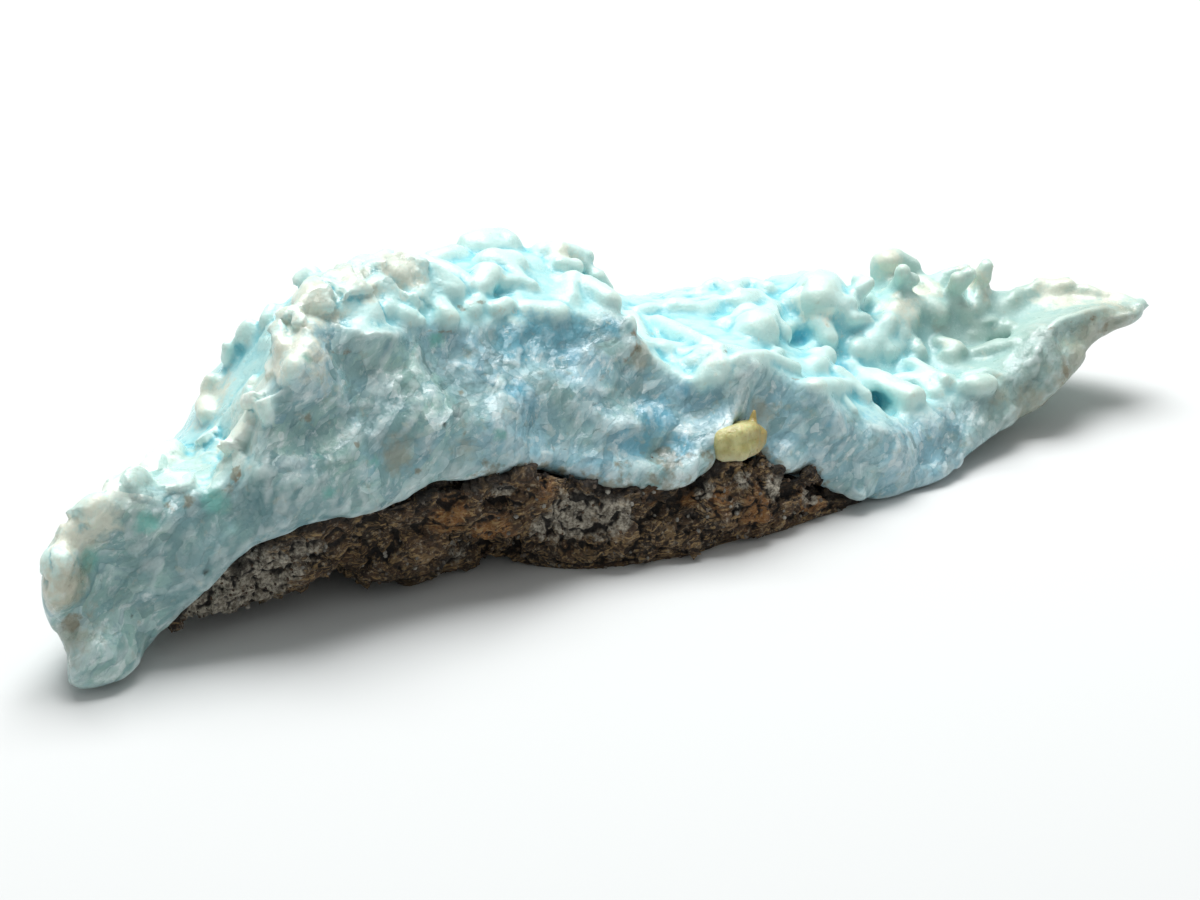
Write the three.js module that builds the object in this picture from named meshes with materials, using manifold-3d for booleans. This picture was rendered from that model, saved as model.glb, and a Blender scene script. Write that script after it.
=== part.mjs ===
// A hand-sized piece of blue aragonite on its own brown host rock. The aragonite is one crust, a few
// centimetres thick: broken and facetted along its front, and grown over with knobs and fingers on top.
// The host rock is the rusty slab that the crust grew on, and it carries the piece. A yellow grain sits in
// the broken front.
//
// Units are millimetres. +X runs along the piece to its thin end, +Y to its back, +Z up.
import * as THREE from "three";
import { ImprovedNoise } from "three/addons/math/ImprovedNoise.js";
import { mergeVertices } from "three/addons/utils/BufferGeometryUtils.js";
import Module from "manifold-3d";

const wasm = await Module();
wasm.setup();

// Driving dimensions
const GROUND = 0.6; // height of the flat the piece rests on, in the guide points' own heights
const SEAM_GAP = 0.45; // between the crust and the rock or the grain it touches
const CRUST_STEP = 3.2; // between the crust's cross-sections
const ROCK_STEP = 5; // between the host rock's cross-sections
const FACET_SIZE = 9; // a break face of the crust
const FACET_TILT = 0.5; // how far a break face leans, as a slope
const LUMP_SIZE = 11; // the broad lumps of the grown surface
const LUMP_HEIGHT = 0.8;
const ROCK_LUMP_SIZE = 8;
const ROCK_LUMP_HEIGHT = 1.3;
const ROCK_FACET_SIZE = 6;
const ROCK_FACET_TILT = 0.4;
const GRAIN_RADIUS = 3.1; // of the yellow grain, across its round side
const FRONT_BULGE = 1.2; // how far the broken front swells between foot and rim

// Lines that run along the crust from its blunt left end to its thin right end, each point as [x, y, z].
// The foot is the lower edge of the broken front, where the host rock begins.
const FOOT = [
  [-80.4, -20, 12.6], [-79.5, -20, 8.5], [-78.6, -20.2, 4.6], [-77, -21.8, 1.6], [-75.5, -22.4, 0.2],
  [-71.7, -21.6, 0.5], [-68, -21, 1.8], [-64, -22, 5.2], [-60, -23, 10.3], [-54, -24, 14],
  [-47, -24.5, 15.5], [-38, -25, 16.3], [-29, -25, 17], [-22, -25, 15.9], [-14, -25.5, 14.3],
  [-7, -26, 10.8], [2, -26.5, 9.5], [10, -27, 11.9], [17, -28, 9], [25, -29.5, 4], [33, -31.5, 0.6],
  [43, -30.5, 0.2], [50, -28.4, 2], [60, -25.5, 3.8], [67, -24, 5], [75, -22, 9], [82, -21, 11.8],
  [88, -19.5, 12.8], [91, -18.5, 13.2],
];
// The rim is the upper edge of the broken front, where the grown surface begins.
const RIM = [
  [-80.4, -19.6, 13.4], [-79.5, -19, 14.4], [-78.6, -18.4, 15.4], [-75, -17.5, 18.6], [-70, -18.5, 22],
  [-63, -19, 21.5], [-57, -20, 20.8], [-53, -20, 24], [-49, -19, 31.5], [-45, -17, 36], [-41, -15, 37.5],
  [-30, -14, 34.5], [-18, -13, 31.5], [-8, -13, 30.4], [-1, -14, 29.5], [3, -14, 30], [4.6, -16, 26.5],
  [6, -19, 23.2], [9.5, -22.5, 20], [13, -23, 22], [16, -23, 23.6], [20, -23, 21.6], [25, -23.5, 18.4],
  [29, -24, 15.7], [34, -25, 12], [42, -25, 9.2], [52, -24, 9.3], [61, -22, 9.8], [66, -21, 12.3],
  [70, -19.5, 15], [76, -18, 14.6], [84, -17.5, 14.6], [91, -18, 13.9],
];
// The floor is the middle of the grown surface: the hump on the left, a dish on the right.
const FLOOR = [
  [-80.4, -19.3, 13.4], [-79.5, -18, 15], [-78.6, -17, 15.6], [-75, -14.5, 18.2], [-70, -12, 20.3],
  [-63, -10, 20.5], [-57, -9, 20.5], [-53, -8, 22.5], [-49, -8, 27], [-45, -7, 31.5], [-41, -6, 36],
  [-36, -6, 38.2], [-28, -5, 39], [-20, -5, 35.5], [-12, -4, 34.5], [-4, -5, 32.5], [2, -6, 31],
  [5, -7, 27], [8, -9, 23.5], [12, -10, 22], [18, -10, 22], [25, -10, 20.5], [32, -11, 18], [38, -12, 14],
  [44, -14, 10.5], [53, -14, 10], [60, -13, 10], [66, -13, 10.5], [70, -12, 12], [76, -12, 13.5],
  [84, -14, 14], [91, -17.4, 13.8],
];
// The crest is the skyline along the back of the grown surface.
const CREST = [
  [-80.4, -19, 13], [-79.5, -17.2, 13.8], [-78.6, -16, 14.6], [-75, -13, 17.4], [-70, -11, 18.6],
  [-64, -7, 18], [-58, -2, 18.8], [-53, 0, 19.8], [-47.5, 3, 24.5], [-44.5, 4, 27.3], [-39, 3, 30.8],
  [-36, 2, 33.4], [-28, 2, 36.5], [-17, 4, 34.5], [-5, 5, 34], [3, 5, 31], [9, 5, 27.5], [14, 5, 23.4],
  [22, 5, 20.6], [31, 3, 20.8], [40, 2, 20.5], [47, 0, 21], [53, 0, 17.5], [64, -2, 17], [71, -4, 15.5],
  [77, -6, 14.4], [83, -9, 14.2], [88, -13.5, 13.8], [91, -17, 13.5],
];
// The shoulder and the heel are the upper and lower edges of the crust's back.
const SHOULDER = [
  [-80.4, -19, 12.6], [-79.5, -17, 12.2], [-78.6, -15.6, 12], [-75, -11, 12.4], [-70, -8, 12.6],
  [-62, 0, 12.5], [-53, 6, 13.5], [-45, 10, 18], [-39, 13, 22], [-28, 16, 26.5], [-5, 18, 26],
  [9, 18, 21], [22, 18, 16.5], [40, 15, 15], [53, 11, 13.5], [71, 4, 10.5], [82, -4, 11.5],
  [88, -11.5, 12.6], [91, -16.8, 13.2],
];
const HEEL = [
  [-80.4, -19.3, 12.2], [-79.5, -17.6, 9.6], [-78.6, -16.5, 8], [-75, -12, 5], [-70, -8.5, 4.5],
  [-62, 1, 5.5], [-49, 11, 8], [-41, 16, 10.5], [-28, 20, 12], [-5, 23, 11.5], [9, 23, 9.5], [22, 22, 8],
  [40, 18, 7], [53, 13, 6], [71, 5, 6.5], [82, -4, 9], [88, -12, 11.5], [91, -17.2, 12.9],
];
// The keel is the middle of the crust's underside, which lies on the host rock.
const KEEL = [
  [-80.4, -19.7, 12.2], [-79.5, -19, 8.6], [-78.6, -18.4, 6], [-75, -16.5, 3.2], [-70, -14, 4],
  [-62, -9, 9], [-49, -5, 13], [-28, -2, 15], [-5, -2, 11], [9, -2, 10], [22, -4, 7], [40, -7, 5],
  [53, -8, 5], [71, -11, 6.5], [82, -14, 10], [88, -17, 12], [91, -18, 13],
];
// Around the crust's cross-section, with the mesh steps from each line to the next. The line without points
// is the middle of the broken front.
const CRUST_LINES = [FOOT, null, RIM, FLOOR, CREST, SHOULDER, HEEL, KEEL];
const CRUST_SPANS = [4, 4, 4, 4, 3, 2, 1, 1];

// Lines that run along the host rock: its front foot and brow, its top, its back, its back foot and its
// underside.
const SLAB_FRONT = [
  [-66, -17.5, 4.6], [-60, -18.6, 4.6], [-52, -18.5, 4], [-42, -18, 5.6], [-37.5, -18, 4],
  [-34, -19, 0.6], [-30, -18.5, -0.6], [-24, -18, 0.8], [-16, -21.5, 0.8], [-8, -27.5, -0.6],
  [0, -29, -0.4], [8, -29.5, 0.2], [16, -29.6, -0.5], [24, -29.5, 0.6], [32, -29, -0.6], [40, -26, 0.6],
  [50, -24, 2], [58, -21, 4.5],
];
const SLAB_BROW = [
  [-66, -17.5, 7], [-60, -19.4, 12], [-52, -21, 16.5], [-44, -22, 19], [-36, -23, 20], [-28, -24, 20.5],
  [-16, -25, 18.5], [-8, -26, 13.6], [0, -27, 13], [8, -27.4, 14.8], [16, -29, 12.2], [24, -28.8, 8.4],
  [32, -28, 4.5], [40, -25, 5], [50, -23, 5.5], [58, -20.5, 6.5],
];
const SLAB_TOP = [
  [-66, -14, 8], [-52, -4, 16], [-28, -2, 18], [-5, -2, 14], [9, -2, 13], [22, -4, 10], [40, -7, 8],
  [58, -12, 7],
];
const SLAB_BACK = [
  [-66, -10, 5], [-52, 8, 7], [-41, 15, 9], [-28, 20, 10.5], [-5, 23, 10], [9, 23, 8], [22, 21, 7],
  [40, 16, 6], [50, 10, 6], [58, 0, 6.5],
];
const SLAB_HEEL = [
  [-66, -12, 4], [-52, 4, 3], [-41, 11, 1.4], [-30, 16, -0.6], [-16, 18, 0.8], [-2, 19, -0.4],
  [12, 18, 0.8], [26, 16, -0.6], [40, 11, 1.2], [50, 5, 2.6], [58, -4, 5],
];
const SLAB_KEEL = [
  [-66, -16, 6], [-52, -8, 5], [-36, -2, 3.8], [-20, 0, 3.4], [0, -3, 2.6], [20, -5, 3], [40, -8, 3.4],
  [58, -13, 6.6],
];
const SLAB_LINES = [SLAB_FRONT, SLAB_BROW, SLAB_TOP, SLAB_BACK, SLAB_HEEL, SLAB_KEEL];
const SLAB_SPANS = [5, 2, 1, 2, 2, 2];

// Knobs and fingers that grew on the crust, each a rounded rod through the balls [x, y, z, radius]. A last
// true marks a finger that is broken off flat.
const KNOBS = [
  // The hump's top
  [[-7, 5, 32.5, 3], [-4, 4, 32, 3]], [[-13, 3, 33, 2.3], [-10.5, 3, 33, 2.2]],
  [[-23, -6, 37, 2.9], [-19, -8, 35, 2.6]], [[-12, -6, 34.5, 2.3], [-14, -8, 34, 1.7]],
  [[-7.5, -2.5, 34, 2.2], [-7, -7, 33, 1.1]], [[-22, -12, 34, 1.7], [-22, -13.5, 32, 1.2]],
  [[2, 0, 32, 1.8], [3.5, 1, 33, 1.5]], [[0.5, -5.5, 31.5, 1.7], [-2, -10.5, 31, 1.2]],
  // The rolls at the hump's left, and the knobs on its left slope
  [[-41.5, -12, 36.5, 3], [-37.5, -10, 37.5, 3.3]], [[-37, -12.5, 37, 2.3], [-32.5, -10, 37.5, 2.5]],
  [[-30, -9, 37.5, 2.8], [-25, -4, 38, 2.3]], [[-32.5, -13, 35.5, 1.9], [-36.5, -16, 35.5, 1.5]],
  [[-48.5, 0, 25, 1.4], [-48.5, 0, 26.5, 1]], [[-45.5, 0.5, 28.5, 1.2], [-46, 0, 30, 0.8]],
  [[-44, -2, 31.5, 1.4], [-43.5, -1, 32, 1]],
  // The leaf-like lobes, the horn and the fingers of the dish beside the hump
  [[11, -4, 23.5, 1.7], [8.5, -12, 23, 1.2]], [[9, -14.5, 22.5, 2.2], [12, -15, 22, 1.7]],
  [[15, -4.5, 22, 1.7], [15, -17.5, 23, 1.4]],
  [[19.5, -1, 21.5, 2.2], [23.5, -2.5, 21, 1.8], [28.5, -1, 21.5, 0.8]],
  [[8, -22.5, 20, 1], [8.5, -20, 22, 0.7]], [[10, -22.5, 20.5, 1.8], [14, -22, 24, 1.1], true],
  [[13, -24, 19.5, 1.7], [13, -23.5, 23, 1.2]],
  // The mounds of the dish
  [[26, -12, 20.5, 3.6], [32, -6.5, 20, 1.9], [36, -2.5, 20, 0.7]],
  [[30.5, -1.5, 20.5, 2.8], [34, -0.5, 20, 2.2]], [[42.5, -4, 19.5, 4.1], [47.5, 1, 18.5, 3.2]],
  // The balls, rods and broken fingers of the dish
  [[32, -18, 16.5, 1.9], [38, -12.5, 15, 1.8]], [[26, -25.5, 17, 2.2], [37.5, -19, 12.5, 1.8]],
  [[42.5, -12, 13, 0.8], [45, -17, 10.5, 0.8], true],
  [[43.5, -14.5, 10.5, 2.5], [45.5, -23, 10.5, 2.3], true],
  [[52, -13, 11, 1.5], [52.5, -21, 10.5, 1.7], true], [[56, -22.5, 10, 2.2], [58, -23, 10, 1.9]],
  [[54.5, -11.5, 11.5, 1.5], [55.5, -10.5, 12.5, 1.1]], [[45, -11, 12.5, 1.9], [47.5, -10.5, 13, 1.8]],
  [[58.5, -13.5, 10.5, 1.8], [60, -13.5, 11.5, 1.2], true],
  // The branching cluster at the back of the dish
  [[48, -9.5, 13.5, 2.3], [52, -7.5, 15, 1.9], [58.5, -2, 18, 1.2], [56.5, -5, 22, 0.5]],
  [[56.5, -4.5, 18, 0.8], [58.5, -5, 20, 0.5]], [[53.5, -6.5, 16, 1.4], [58, -6, 17.5, 0.8], true],
  [[55, -6.5, 14.5, 2.8], [58, -5, 16, 2.3]],
  [[44, -7.5, 18.5, 1.1], [48.5, -5, 20, 1], [50.5, -5, 21, 0.7]],
  [[58.5, 1, 16.5, 2.5], [58, 2, 20, 1.9]], [[62.5, 2, 16, 1.9], [63, 3, 18, 1.5]],
  [[61, -5, 16, 1.9], [61, -7.5, 15, 1.8]],
  // The second cluster, with its wall and column
  [[63, -3, 16.5, 1.2], [68.5, -3, 18.5, 0.8], [71, -3, 18, 0.6]],
  [[64.5, -6, 16.5, 1.2], [65, -7, 18.5, 1.1], [66, -8, 20.5, 0.4]],
  [[64.5, -7, 16, 1.2], [64.5, -8, 15, 1], [65.5, -9.5, 15, 0.7], true],
  [[67, -8.5, 14, 1.5], [69.5, -6, 16.5, 1.2], [70.5, -6, 18.5, 1], [70.5, -6, 19.5, 0.6]],
  // The lumps along the thin end
  [[73.5, -8.5, 14.5, 1], [77, -7, 14.5, 1.1]], [[77.5, -8, 15, 1.2], [80.5, -7, 15.5, 1.1]],
  [[81, -9, 15, 1.4], [84.5, -8, 15, 1.2]],
];

// Hollows between them, as balls in the same form
const PITS = [
  [[43, -16.5, 9, 1.7], [41.5, -22.5, 10, 1.8]], [[-12, -8.5, 33, 1.2], [-10, -8, 33, 1.1]],
  [[52.5, -24, 9.5, 1.7], [54, -24.5, 9, 1.4]], [[69.5, -12, 11, 2.1], [67.5, -11, 11.5, 1.9]],
  [[32, -11, 18.5, 1.8], [37.5, -7, 16, 1.7]],
];
// The dark crevice in the front of the host rock, under the crust's foot
const CREVICE = [[-14, -23.5, 12, 0.6], [-8, -24.6, 11.6, 0.8], [-1, -25.6, 11, 0.6]];
// The groove between the rock and the crust's foot, weathered out along these x, a little behind the foot
const GROOVE_AT = Array.from({ length: 24 }, (_, i) => -67 + 5 * i);
const GROOVE_RADIUS = 1.5;
const GROOVE_INSET = 0.9;

// The yellow grain in the broken front
const GRAIN_AT = new THREE.Vector3(13.4, -27.8, 14);
const GRAIN_STRETCH = new THREE.Vector3(1.15, 0.85, 0.85);

const { clamp, lerp } = THREE.MathUtils;
const smooth = (t) => t * t * (3 - 2 * t);

// Repeatable noise
const perlin = new ImprovedNoise();
const wave = (p, size, shift = 0) => perlin.noise(p.x / size + shift, p.y / size + 7.3, p.z / size + 3.1);

function hash(i, j, k, salt) {
  const s = Math.sin(i * 127.1 + j * 311.7 + k * 74.7 + salt * 53.3) * 43758.5453;
  return s - Math.floor(s);
}

// The [y, z] of a line where it passes the given x, on a curve through its points.
function lineAt(line, x) {
  const last = line.length - 2;
  const found = line.findIndex((p) => p[0] > x);
  const i = found < 0 ? last : clamp(found - 1, 0, last);
  const at = (k) => line[clamp(k, 0, line.length - 1)];
  const [a, b, c, d] = [at(i - 1), at(i), at(i + 1), at(i + 2)];
  const t = clamp((x - b[0]) / (c[0] - b[0]), 0, 1);
  const [t2, t3] = [t * t, t * t * t];
  return [1, 2].map((k) => {
    const slopeB = (c[k] - a[k]) / (c[0] - a[0]) * (c[0] - b[0]);
    const slopeC = (d[k] - b[k]) / (d[0] - b[0]) * (c[0] - b[0]);
    return (2 * t3 - 3 * t2 + 1) * b[k] + (t3 - 2 * t2 + t) * slopeB
      + (3 * t2 - 2 * t3) * c[k] + (t3 - t2) * slopeC;
  });
}

// A closed skin over rings of points. Each end closes on one point, or on the middle of its ring.
function skin(rings, startPoint, endPoint) {
  const around = rings[0].length;
  const middle = (ring) => ring.reduce((sum, p) => sum.add(p), new THREE.Vector3()).divideScalar(around);
  const points = [...rings.flat(), startPoint ?? middle(rings[0]), endPoint ?? middle(rings.at(-1))];
  const [start, end] = [points.length - 2, points.length - 1];
  const lastRing = (rings.length - 1) * around;
  const faces = [];
  for (let j = 0; j < around; j++) {
    const next = (j + 1) % around;
    for (let i = 0; i + 1 < rings.length; i++) {
      const [a, b] = [i * around + j, i * around + next];
      const [c, d] = [a + around, b + around];
      if (points[a].distanceTo(points[d]) < points[b].distanceTo(points[c])) faces.push(a, c, d, a, d, b);
      else faces.push(a, c, b, b, c, d);
    }
    faces.push(start, j, next, end, lastRing + next, lastRing + j);
  }
  const geometry = new THREE.BufferGeometry().setFromPoints(points);
  geometry.setIndex(faces);
  geometry.computeVertexNormals();
  return geometry;
}

// The closed cross-section of a body through its lines, at the given x.
function outline(x, lines) {
  const at = (line) => new THREE.Vector3(x, ...lineAt(line, x));
  const corners = lines.map((line, i) => {
    if (line) return at(line);
    const [low, high] = [at(lines[i - 1]), at(lines[i + 1])];
    const across = high.clone().sub(low);
    const outward = new THREE.Vector3(0, -across.z, across.y).normalize();
    return low.lerp(high, 0.5).addScaledVector(outward, FRONT_BULGE);
  });
  return new THREE.CatmullRomCurve3(corners, true, "centripetal");
}

// Rings over a body's lines. Points sit a little off an even grid, as a natural surface has no grid, apart
// from those on the lines from the given one on, and on the first.
function rings(lines, spans, step, evenFrom) {
  const [start, end] = [lines[0][0][0], lines[0].at(-1)[0]];
  const count = Math.round((end - start) / step);
  const even = Array.from({ length: count + 1 }, (_, i) => lerp(start, end, i / count));
  const nearEnds = [0.35, 0.7].map((share) => share * step);
  const stations = [
    start, ...nearEnds.map((d) => start + d), ...even.slice(1, -1),
    ...nearEnds.map((d) => end - d).reverse(), end,
  ];
  const shares = spans.flatMap((n, line) => Array.from({ length: n }, (_, k) => [line, k / n, 1 / n]));
  return stations.map((x, i) => shares.map(([line, share, width], j) => {
    const free = i > 3 && i < stations.length - 4 && line < evenFrom && line + share > 0;
    const dx = free ? (hash(i, j, 0, 11) - 0.5) * 0.7 * step : 0;
    const slide = free ? (hash(i, j, 0, 12) - 0.5) * 0.5 * width : 0;
    const turn = (line + share + slide) / lines.length;
    return outline(x + dx, lines).getPoint((turn + 1) % 1);
  }));
}

// The relief of a brittle break: flat faces of about the given size, each leaning its own way.
function facetRelief(p, size, tilt) {
  const [ci, cj, ck] = [p.x, p.y, p.z].map((v) => Math.floor(v / size));
  let nearest = Infinity;
  let relief = 0;
  for (let i = ci - 1; i <= ci + 1; i++)
    for (let j = cj - 1; j <= cj + 1; j++)
      for (let k = ck - 1; k <= ck + 1; k++) {
        const seed = new THREE.Vector3(i + hash(i, j, k, 1), j + hash(i, j, k, 2), k + hash(i, j, k, 3));
        const away = p.clone().sub(seed.multiplyScalar(size));
        if (away.lengthSq() >= nearest) continue;
        nearest = away.lengthSq();
        const lean = new THREE.Vector3(...[4, 5, 6].map((salt) => hash(i, j, k, salt) - 0.5));
        relief = 2 * tilt * away.dot(lean) + 0.12 * size * (hash(i, j, k, 7) - 0.5);
      }
  return relief;
}

function displace(geometry, relief) {
  const [position, normal] = [geometry.getAttribute("position"), geometry.getAttribute("normal")];
  for (let i = 0; i < position.count; i++) {
    const p = new THREE.Vector3().fromBufferAttribute(position, i);
    const n = new THREE.Vector3().fromBufferAttribute(normal, i);
    p.addScaledVector(n, relief(p, n));
    position.setXYZ(i, p.x, p.y, p.z);
  }
  geometry.computeVertexNormals();
  return geometry;
}

function solid(geometry) {
  const bare = geometry.clone();
  bare.deleteAttribute("normal");
  bare.deleteAttribute("uv");
  const merged = mergeVertices(bare, 1e-4);
  return new wasm.Manifold(new wasm.Mesh({
    numProp: 3,
    vertProperties: new Float32Array(merged.getAttribute("position").array),
    triVerts: new Uint32Array(merged.index.array),
  }));
}

function geometryOf(body) {
  const mesh = body.getMesh();
  const geometry = new THREE.BufferGeometry();
  geometry.setAttribute("position", new THREE.BufferAttribute(new Float32Array(mesh.vertProperties), 3));
  geometry.setIndex(new THREE.BufferAttribute(new Uint32Array(mesh.triVerts), 1));
  geometry.computeVertexNormals();
  return geometry;
}

// One knob or finger, grown by a margin all round. Its skin runs through a ring round the middle of each
// ball, and through a smaller ring at the end.
function knob(row, index, margin) {
  const broken = row.at(-1) === true;
  const balls = row.filter((ball) => ball !== true);
  const centres = balls.map(([x, y, z]) => new THREE.Vector3(x, y, z));
  const radii = balls.map((ball) => ball[3] + margin);
  const widest = Math.max(...radii) - margin;
  const sides = widest > 2 ? 7 : widest > 0.8 ? 6 : 5;
  const aims = centres.map((centre, i) => {
    const [before, after] = [centres[Math.max(0, i - 1)], centres[Math.min(centres.length - 1, i + 1)]];
    return after.clone().sub(before).normalize();
  });
  const place = (i, ahead, width) => Array.from({ length: sides }, (_, k) => {
    const pose = new THREE.Quaternion().setFromUnitVectors(new THREE.Vector3(0, 1, 0), aims[i]);
    const angle = -2 * Math.PI * (k + 0.6 * hash(index, k, 0, 21)) / sides;
    const radius = radii[i] * width * (1 + 0.12 * (hash(index, k, i, 22) - 0.5));
    const point = new THREE.Vector3(Math.sin(angle) * radius, radii[i] * ahead, Math.cos(angle) * radius);
    return point.applyQuaternion(pose).add(centres[i]);
  });
  const pole = (i, side) => centres[i].clone().addScaledVector(aims[i], side * radii[i]);
  const last = balls.length - 1;
  const middles = balls.map((_, i) => place(i, 0, 1));
  const end = broken ? place(last, 0.35, 0.9) : place(last, 0.75, 0.66);
  const start = widest > 2 ? [place(0, -0.75, 0.66)] : [];
  return solid(skin([...start, ...middles, end], pole(0, -1), broken ? null : pole(last, 1)));
}

// The crust with its knobs, grown by a margin all round
function crustBody(margin) {
  const base = displace(skin(rings(CRUST_LINES, CRUST_SPANS, CRUST_STEP, 6)), (p, n) => {
    const front = smooth(clamp(-n.y * 1.6 - Math.abs(n.z) * 0.8, 0, 1));
    return front * facetRelief(p, FACET_SIZE, FACET_TILT) + (1 - front) * LUMP_HEIGHT * wave(p, LUMP_SIZE);
  });
  const body = solid(displace(base, () => margin));
  return KNOBS.reduce((sum, row, index) => sum.add(knob(row, index, margin)), body);
}

function rockBody() {
  return solid(displace(skin(rings(SLAB_LINES, SLAB_SPANS, ROCK_STEP, 6)), (p) =>
    ROCK_LUMP_HEIGHT * wave(p, ROCK_LUMP_SIZE, 5) + facetRelief(p, ROCK_FACET_SIZE, ROCK_FACET_TILT)));
}

// The yellow grain, grown by a margin all round
function grainBody(margin) {
  const ball = mergeVertices(new THREE.IcosahedronGeometry(GRAIN_RADIUS, 1).deleteAttribute("uv"), 1e-4);
  ball.computeVertexNormals();
  displace(ball, (p) => 0.5 * wave(p, 2.2, 9) + margin);
  return solid(ball.scale(...GRAIN_STRETCH.toArray()).translate(...GRAIN_AT.toArray()));
}

const belowGround = solid(new THREE.BoxGeometry(300, 200, 50).translate(0, 0, GROUND - 25));
const pitted = PITS.reduce((rest, row, index) => rest.subtract(knob(row, index, 0)), crustBody(0));
const crust = pitted.subtract(grainBody(SEAM_GAP)).subtract(belowGround);
const grain = grainBody(0);
const groove = GROOVE_AT.map((x) => {
  const [y, z] = lineAt(FOOT, x);
  return [x, y + GROOVE_INSET, z, GROOVE_RADIUS];
});
const slab = rockBody().subtract(knob(CREVICE, 0, 0)).subtract(knob(groove, 0, 0));
const rock = slab.subtract(crustBody(SEAM_GAP)).subtract(grainBody(SEAM_GAP)).subtract(belowGround);

function piece(name, body, color, roughness) {
  const material = new THREE.MeshStandardMaterial({ color, roughness, metalness: 0 });
  const mesh = new THREE.Mesh(geometryOf(body), material);
  mesh.name = name;
  return mesh;
}

const specimen = new THREE.Group();
specimen.add(piece("aragonite_crust", crust, 0xbfe3e6, 0.45));
specimen.add(piece("host_rock", rock, 0x4a372a, 0.95));
specimen.add(piece("yellow_grain", grain, 0xd8b04a, 0.8));

// The origin goes to the middle of the ground under the piece.
const box = new THREE.Box3().setFromObject(specimen);
const middle = box.getCenter(new THREE.Vector3());
for (const mesh of specimen.children) mesh.geometry.translate(-middle.x, -middle.y, -box.min.z);

export default specimen;
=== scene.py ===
import math

import bmesh
import bpy
import numpy as np
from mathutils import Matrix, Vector
from mathutils.bvhtree import BVHTree


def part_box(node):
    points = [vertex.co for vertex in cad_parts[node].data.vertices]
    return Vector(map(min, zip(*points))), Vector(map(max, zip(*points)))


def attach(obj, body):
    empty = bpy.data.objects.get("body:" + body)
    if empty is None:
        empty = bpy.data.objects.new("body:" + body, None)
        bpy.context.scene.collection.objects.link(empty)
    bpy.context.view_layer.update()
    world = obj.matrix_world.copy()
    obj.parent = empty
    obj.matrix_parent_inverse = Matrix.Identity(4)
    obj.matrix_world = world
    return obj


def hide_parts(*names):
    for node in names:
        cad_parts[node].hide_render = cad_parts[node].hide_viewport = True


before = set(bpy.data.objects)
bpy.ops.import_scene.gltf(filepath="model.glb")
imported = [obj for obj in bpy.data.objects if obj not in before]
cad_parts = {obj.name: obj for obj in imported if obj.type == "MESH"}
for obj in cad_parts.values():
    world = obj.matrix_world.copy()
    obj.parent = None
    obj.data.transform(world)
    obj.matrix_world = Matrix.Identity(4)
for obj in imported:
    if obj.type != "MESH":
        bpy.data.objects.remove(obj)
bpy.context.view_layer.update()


# The aragonite crust: one grown piece, waxy blue-green carbonate laid down in knobs, rolls and
# little coral branches on its upper side, and snapped off along its front, where the break shows
# the crystal grains as small tilted facets. It sits fast on the rock below.
MM = 0.001
BODY_VOXEL = 0.6 * MM
CRUST_VOXEL = 0.42 * MM
CRUST_TRIANGLES = 190000
KNOB_SWELL = 0.2 * MM
KNOB_SIDES = 14
# Rounds of evening: the solid's flat faces, the creases between knobs, the break before and after
# its facets are cut.
BODY_ROUNDS, CREASE_ROUNDS, BREAK_ROUNDS, WEAR_ROUNDS = 30, 3, 85, 3
# Spans in mm: the height over which the relief comes in, the depth over which the back turns knobby,
# the length over which the blue turns duller, and how far from the rock the crust gets painted contact shade.
FOOT_SPAN, BACK_SPAN, DULL_SPAN, CONTACT_SHADE_SPAN = (0.0, 0.8), (7.0, 14.0), (40.0, 58.0), (0.3, 2.2)
SEAM_REACH = 0.75
# Rounds of blur and depth that count as a nook between knobs and as a broad hollow, where shade is painted.
NOOK_SHADE, HOLLOW_SHADE = (6, 0.22 * MM), (90, 1.6 * MM)

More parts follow.
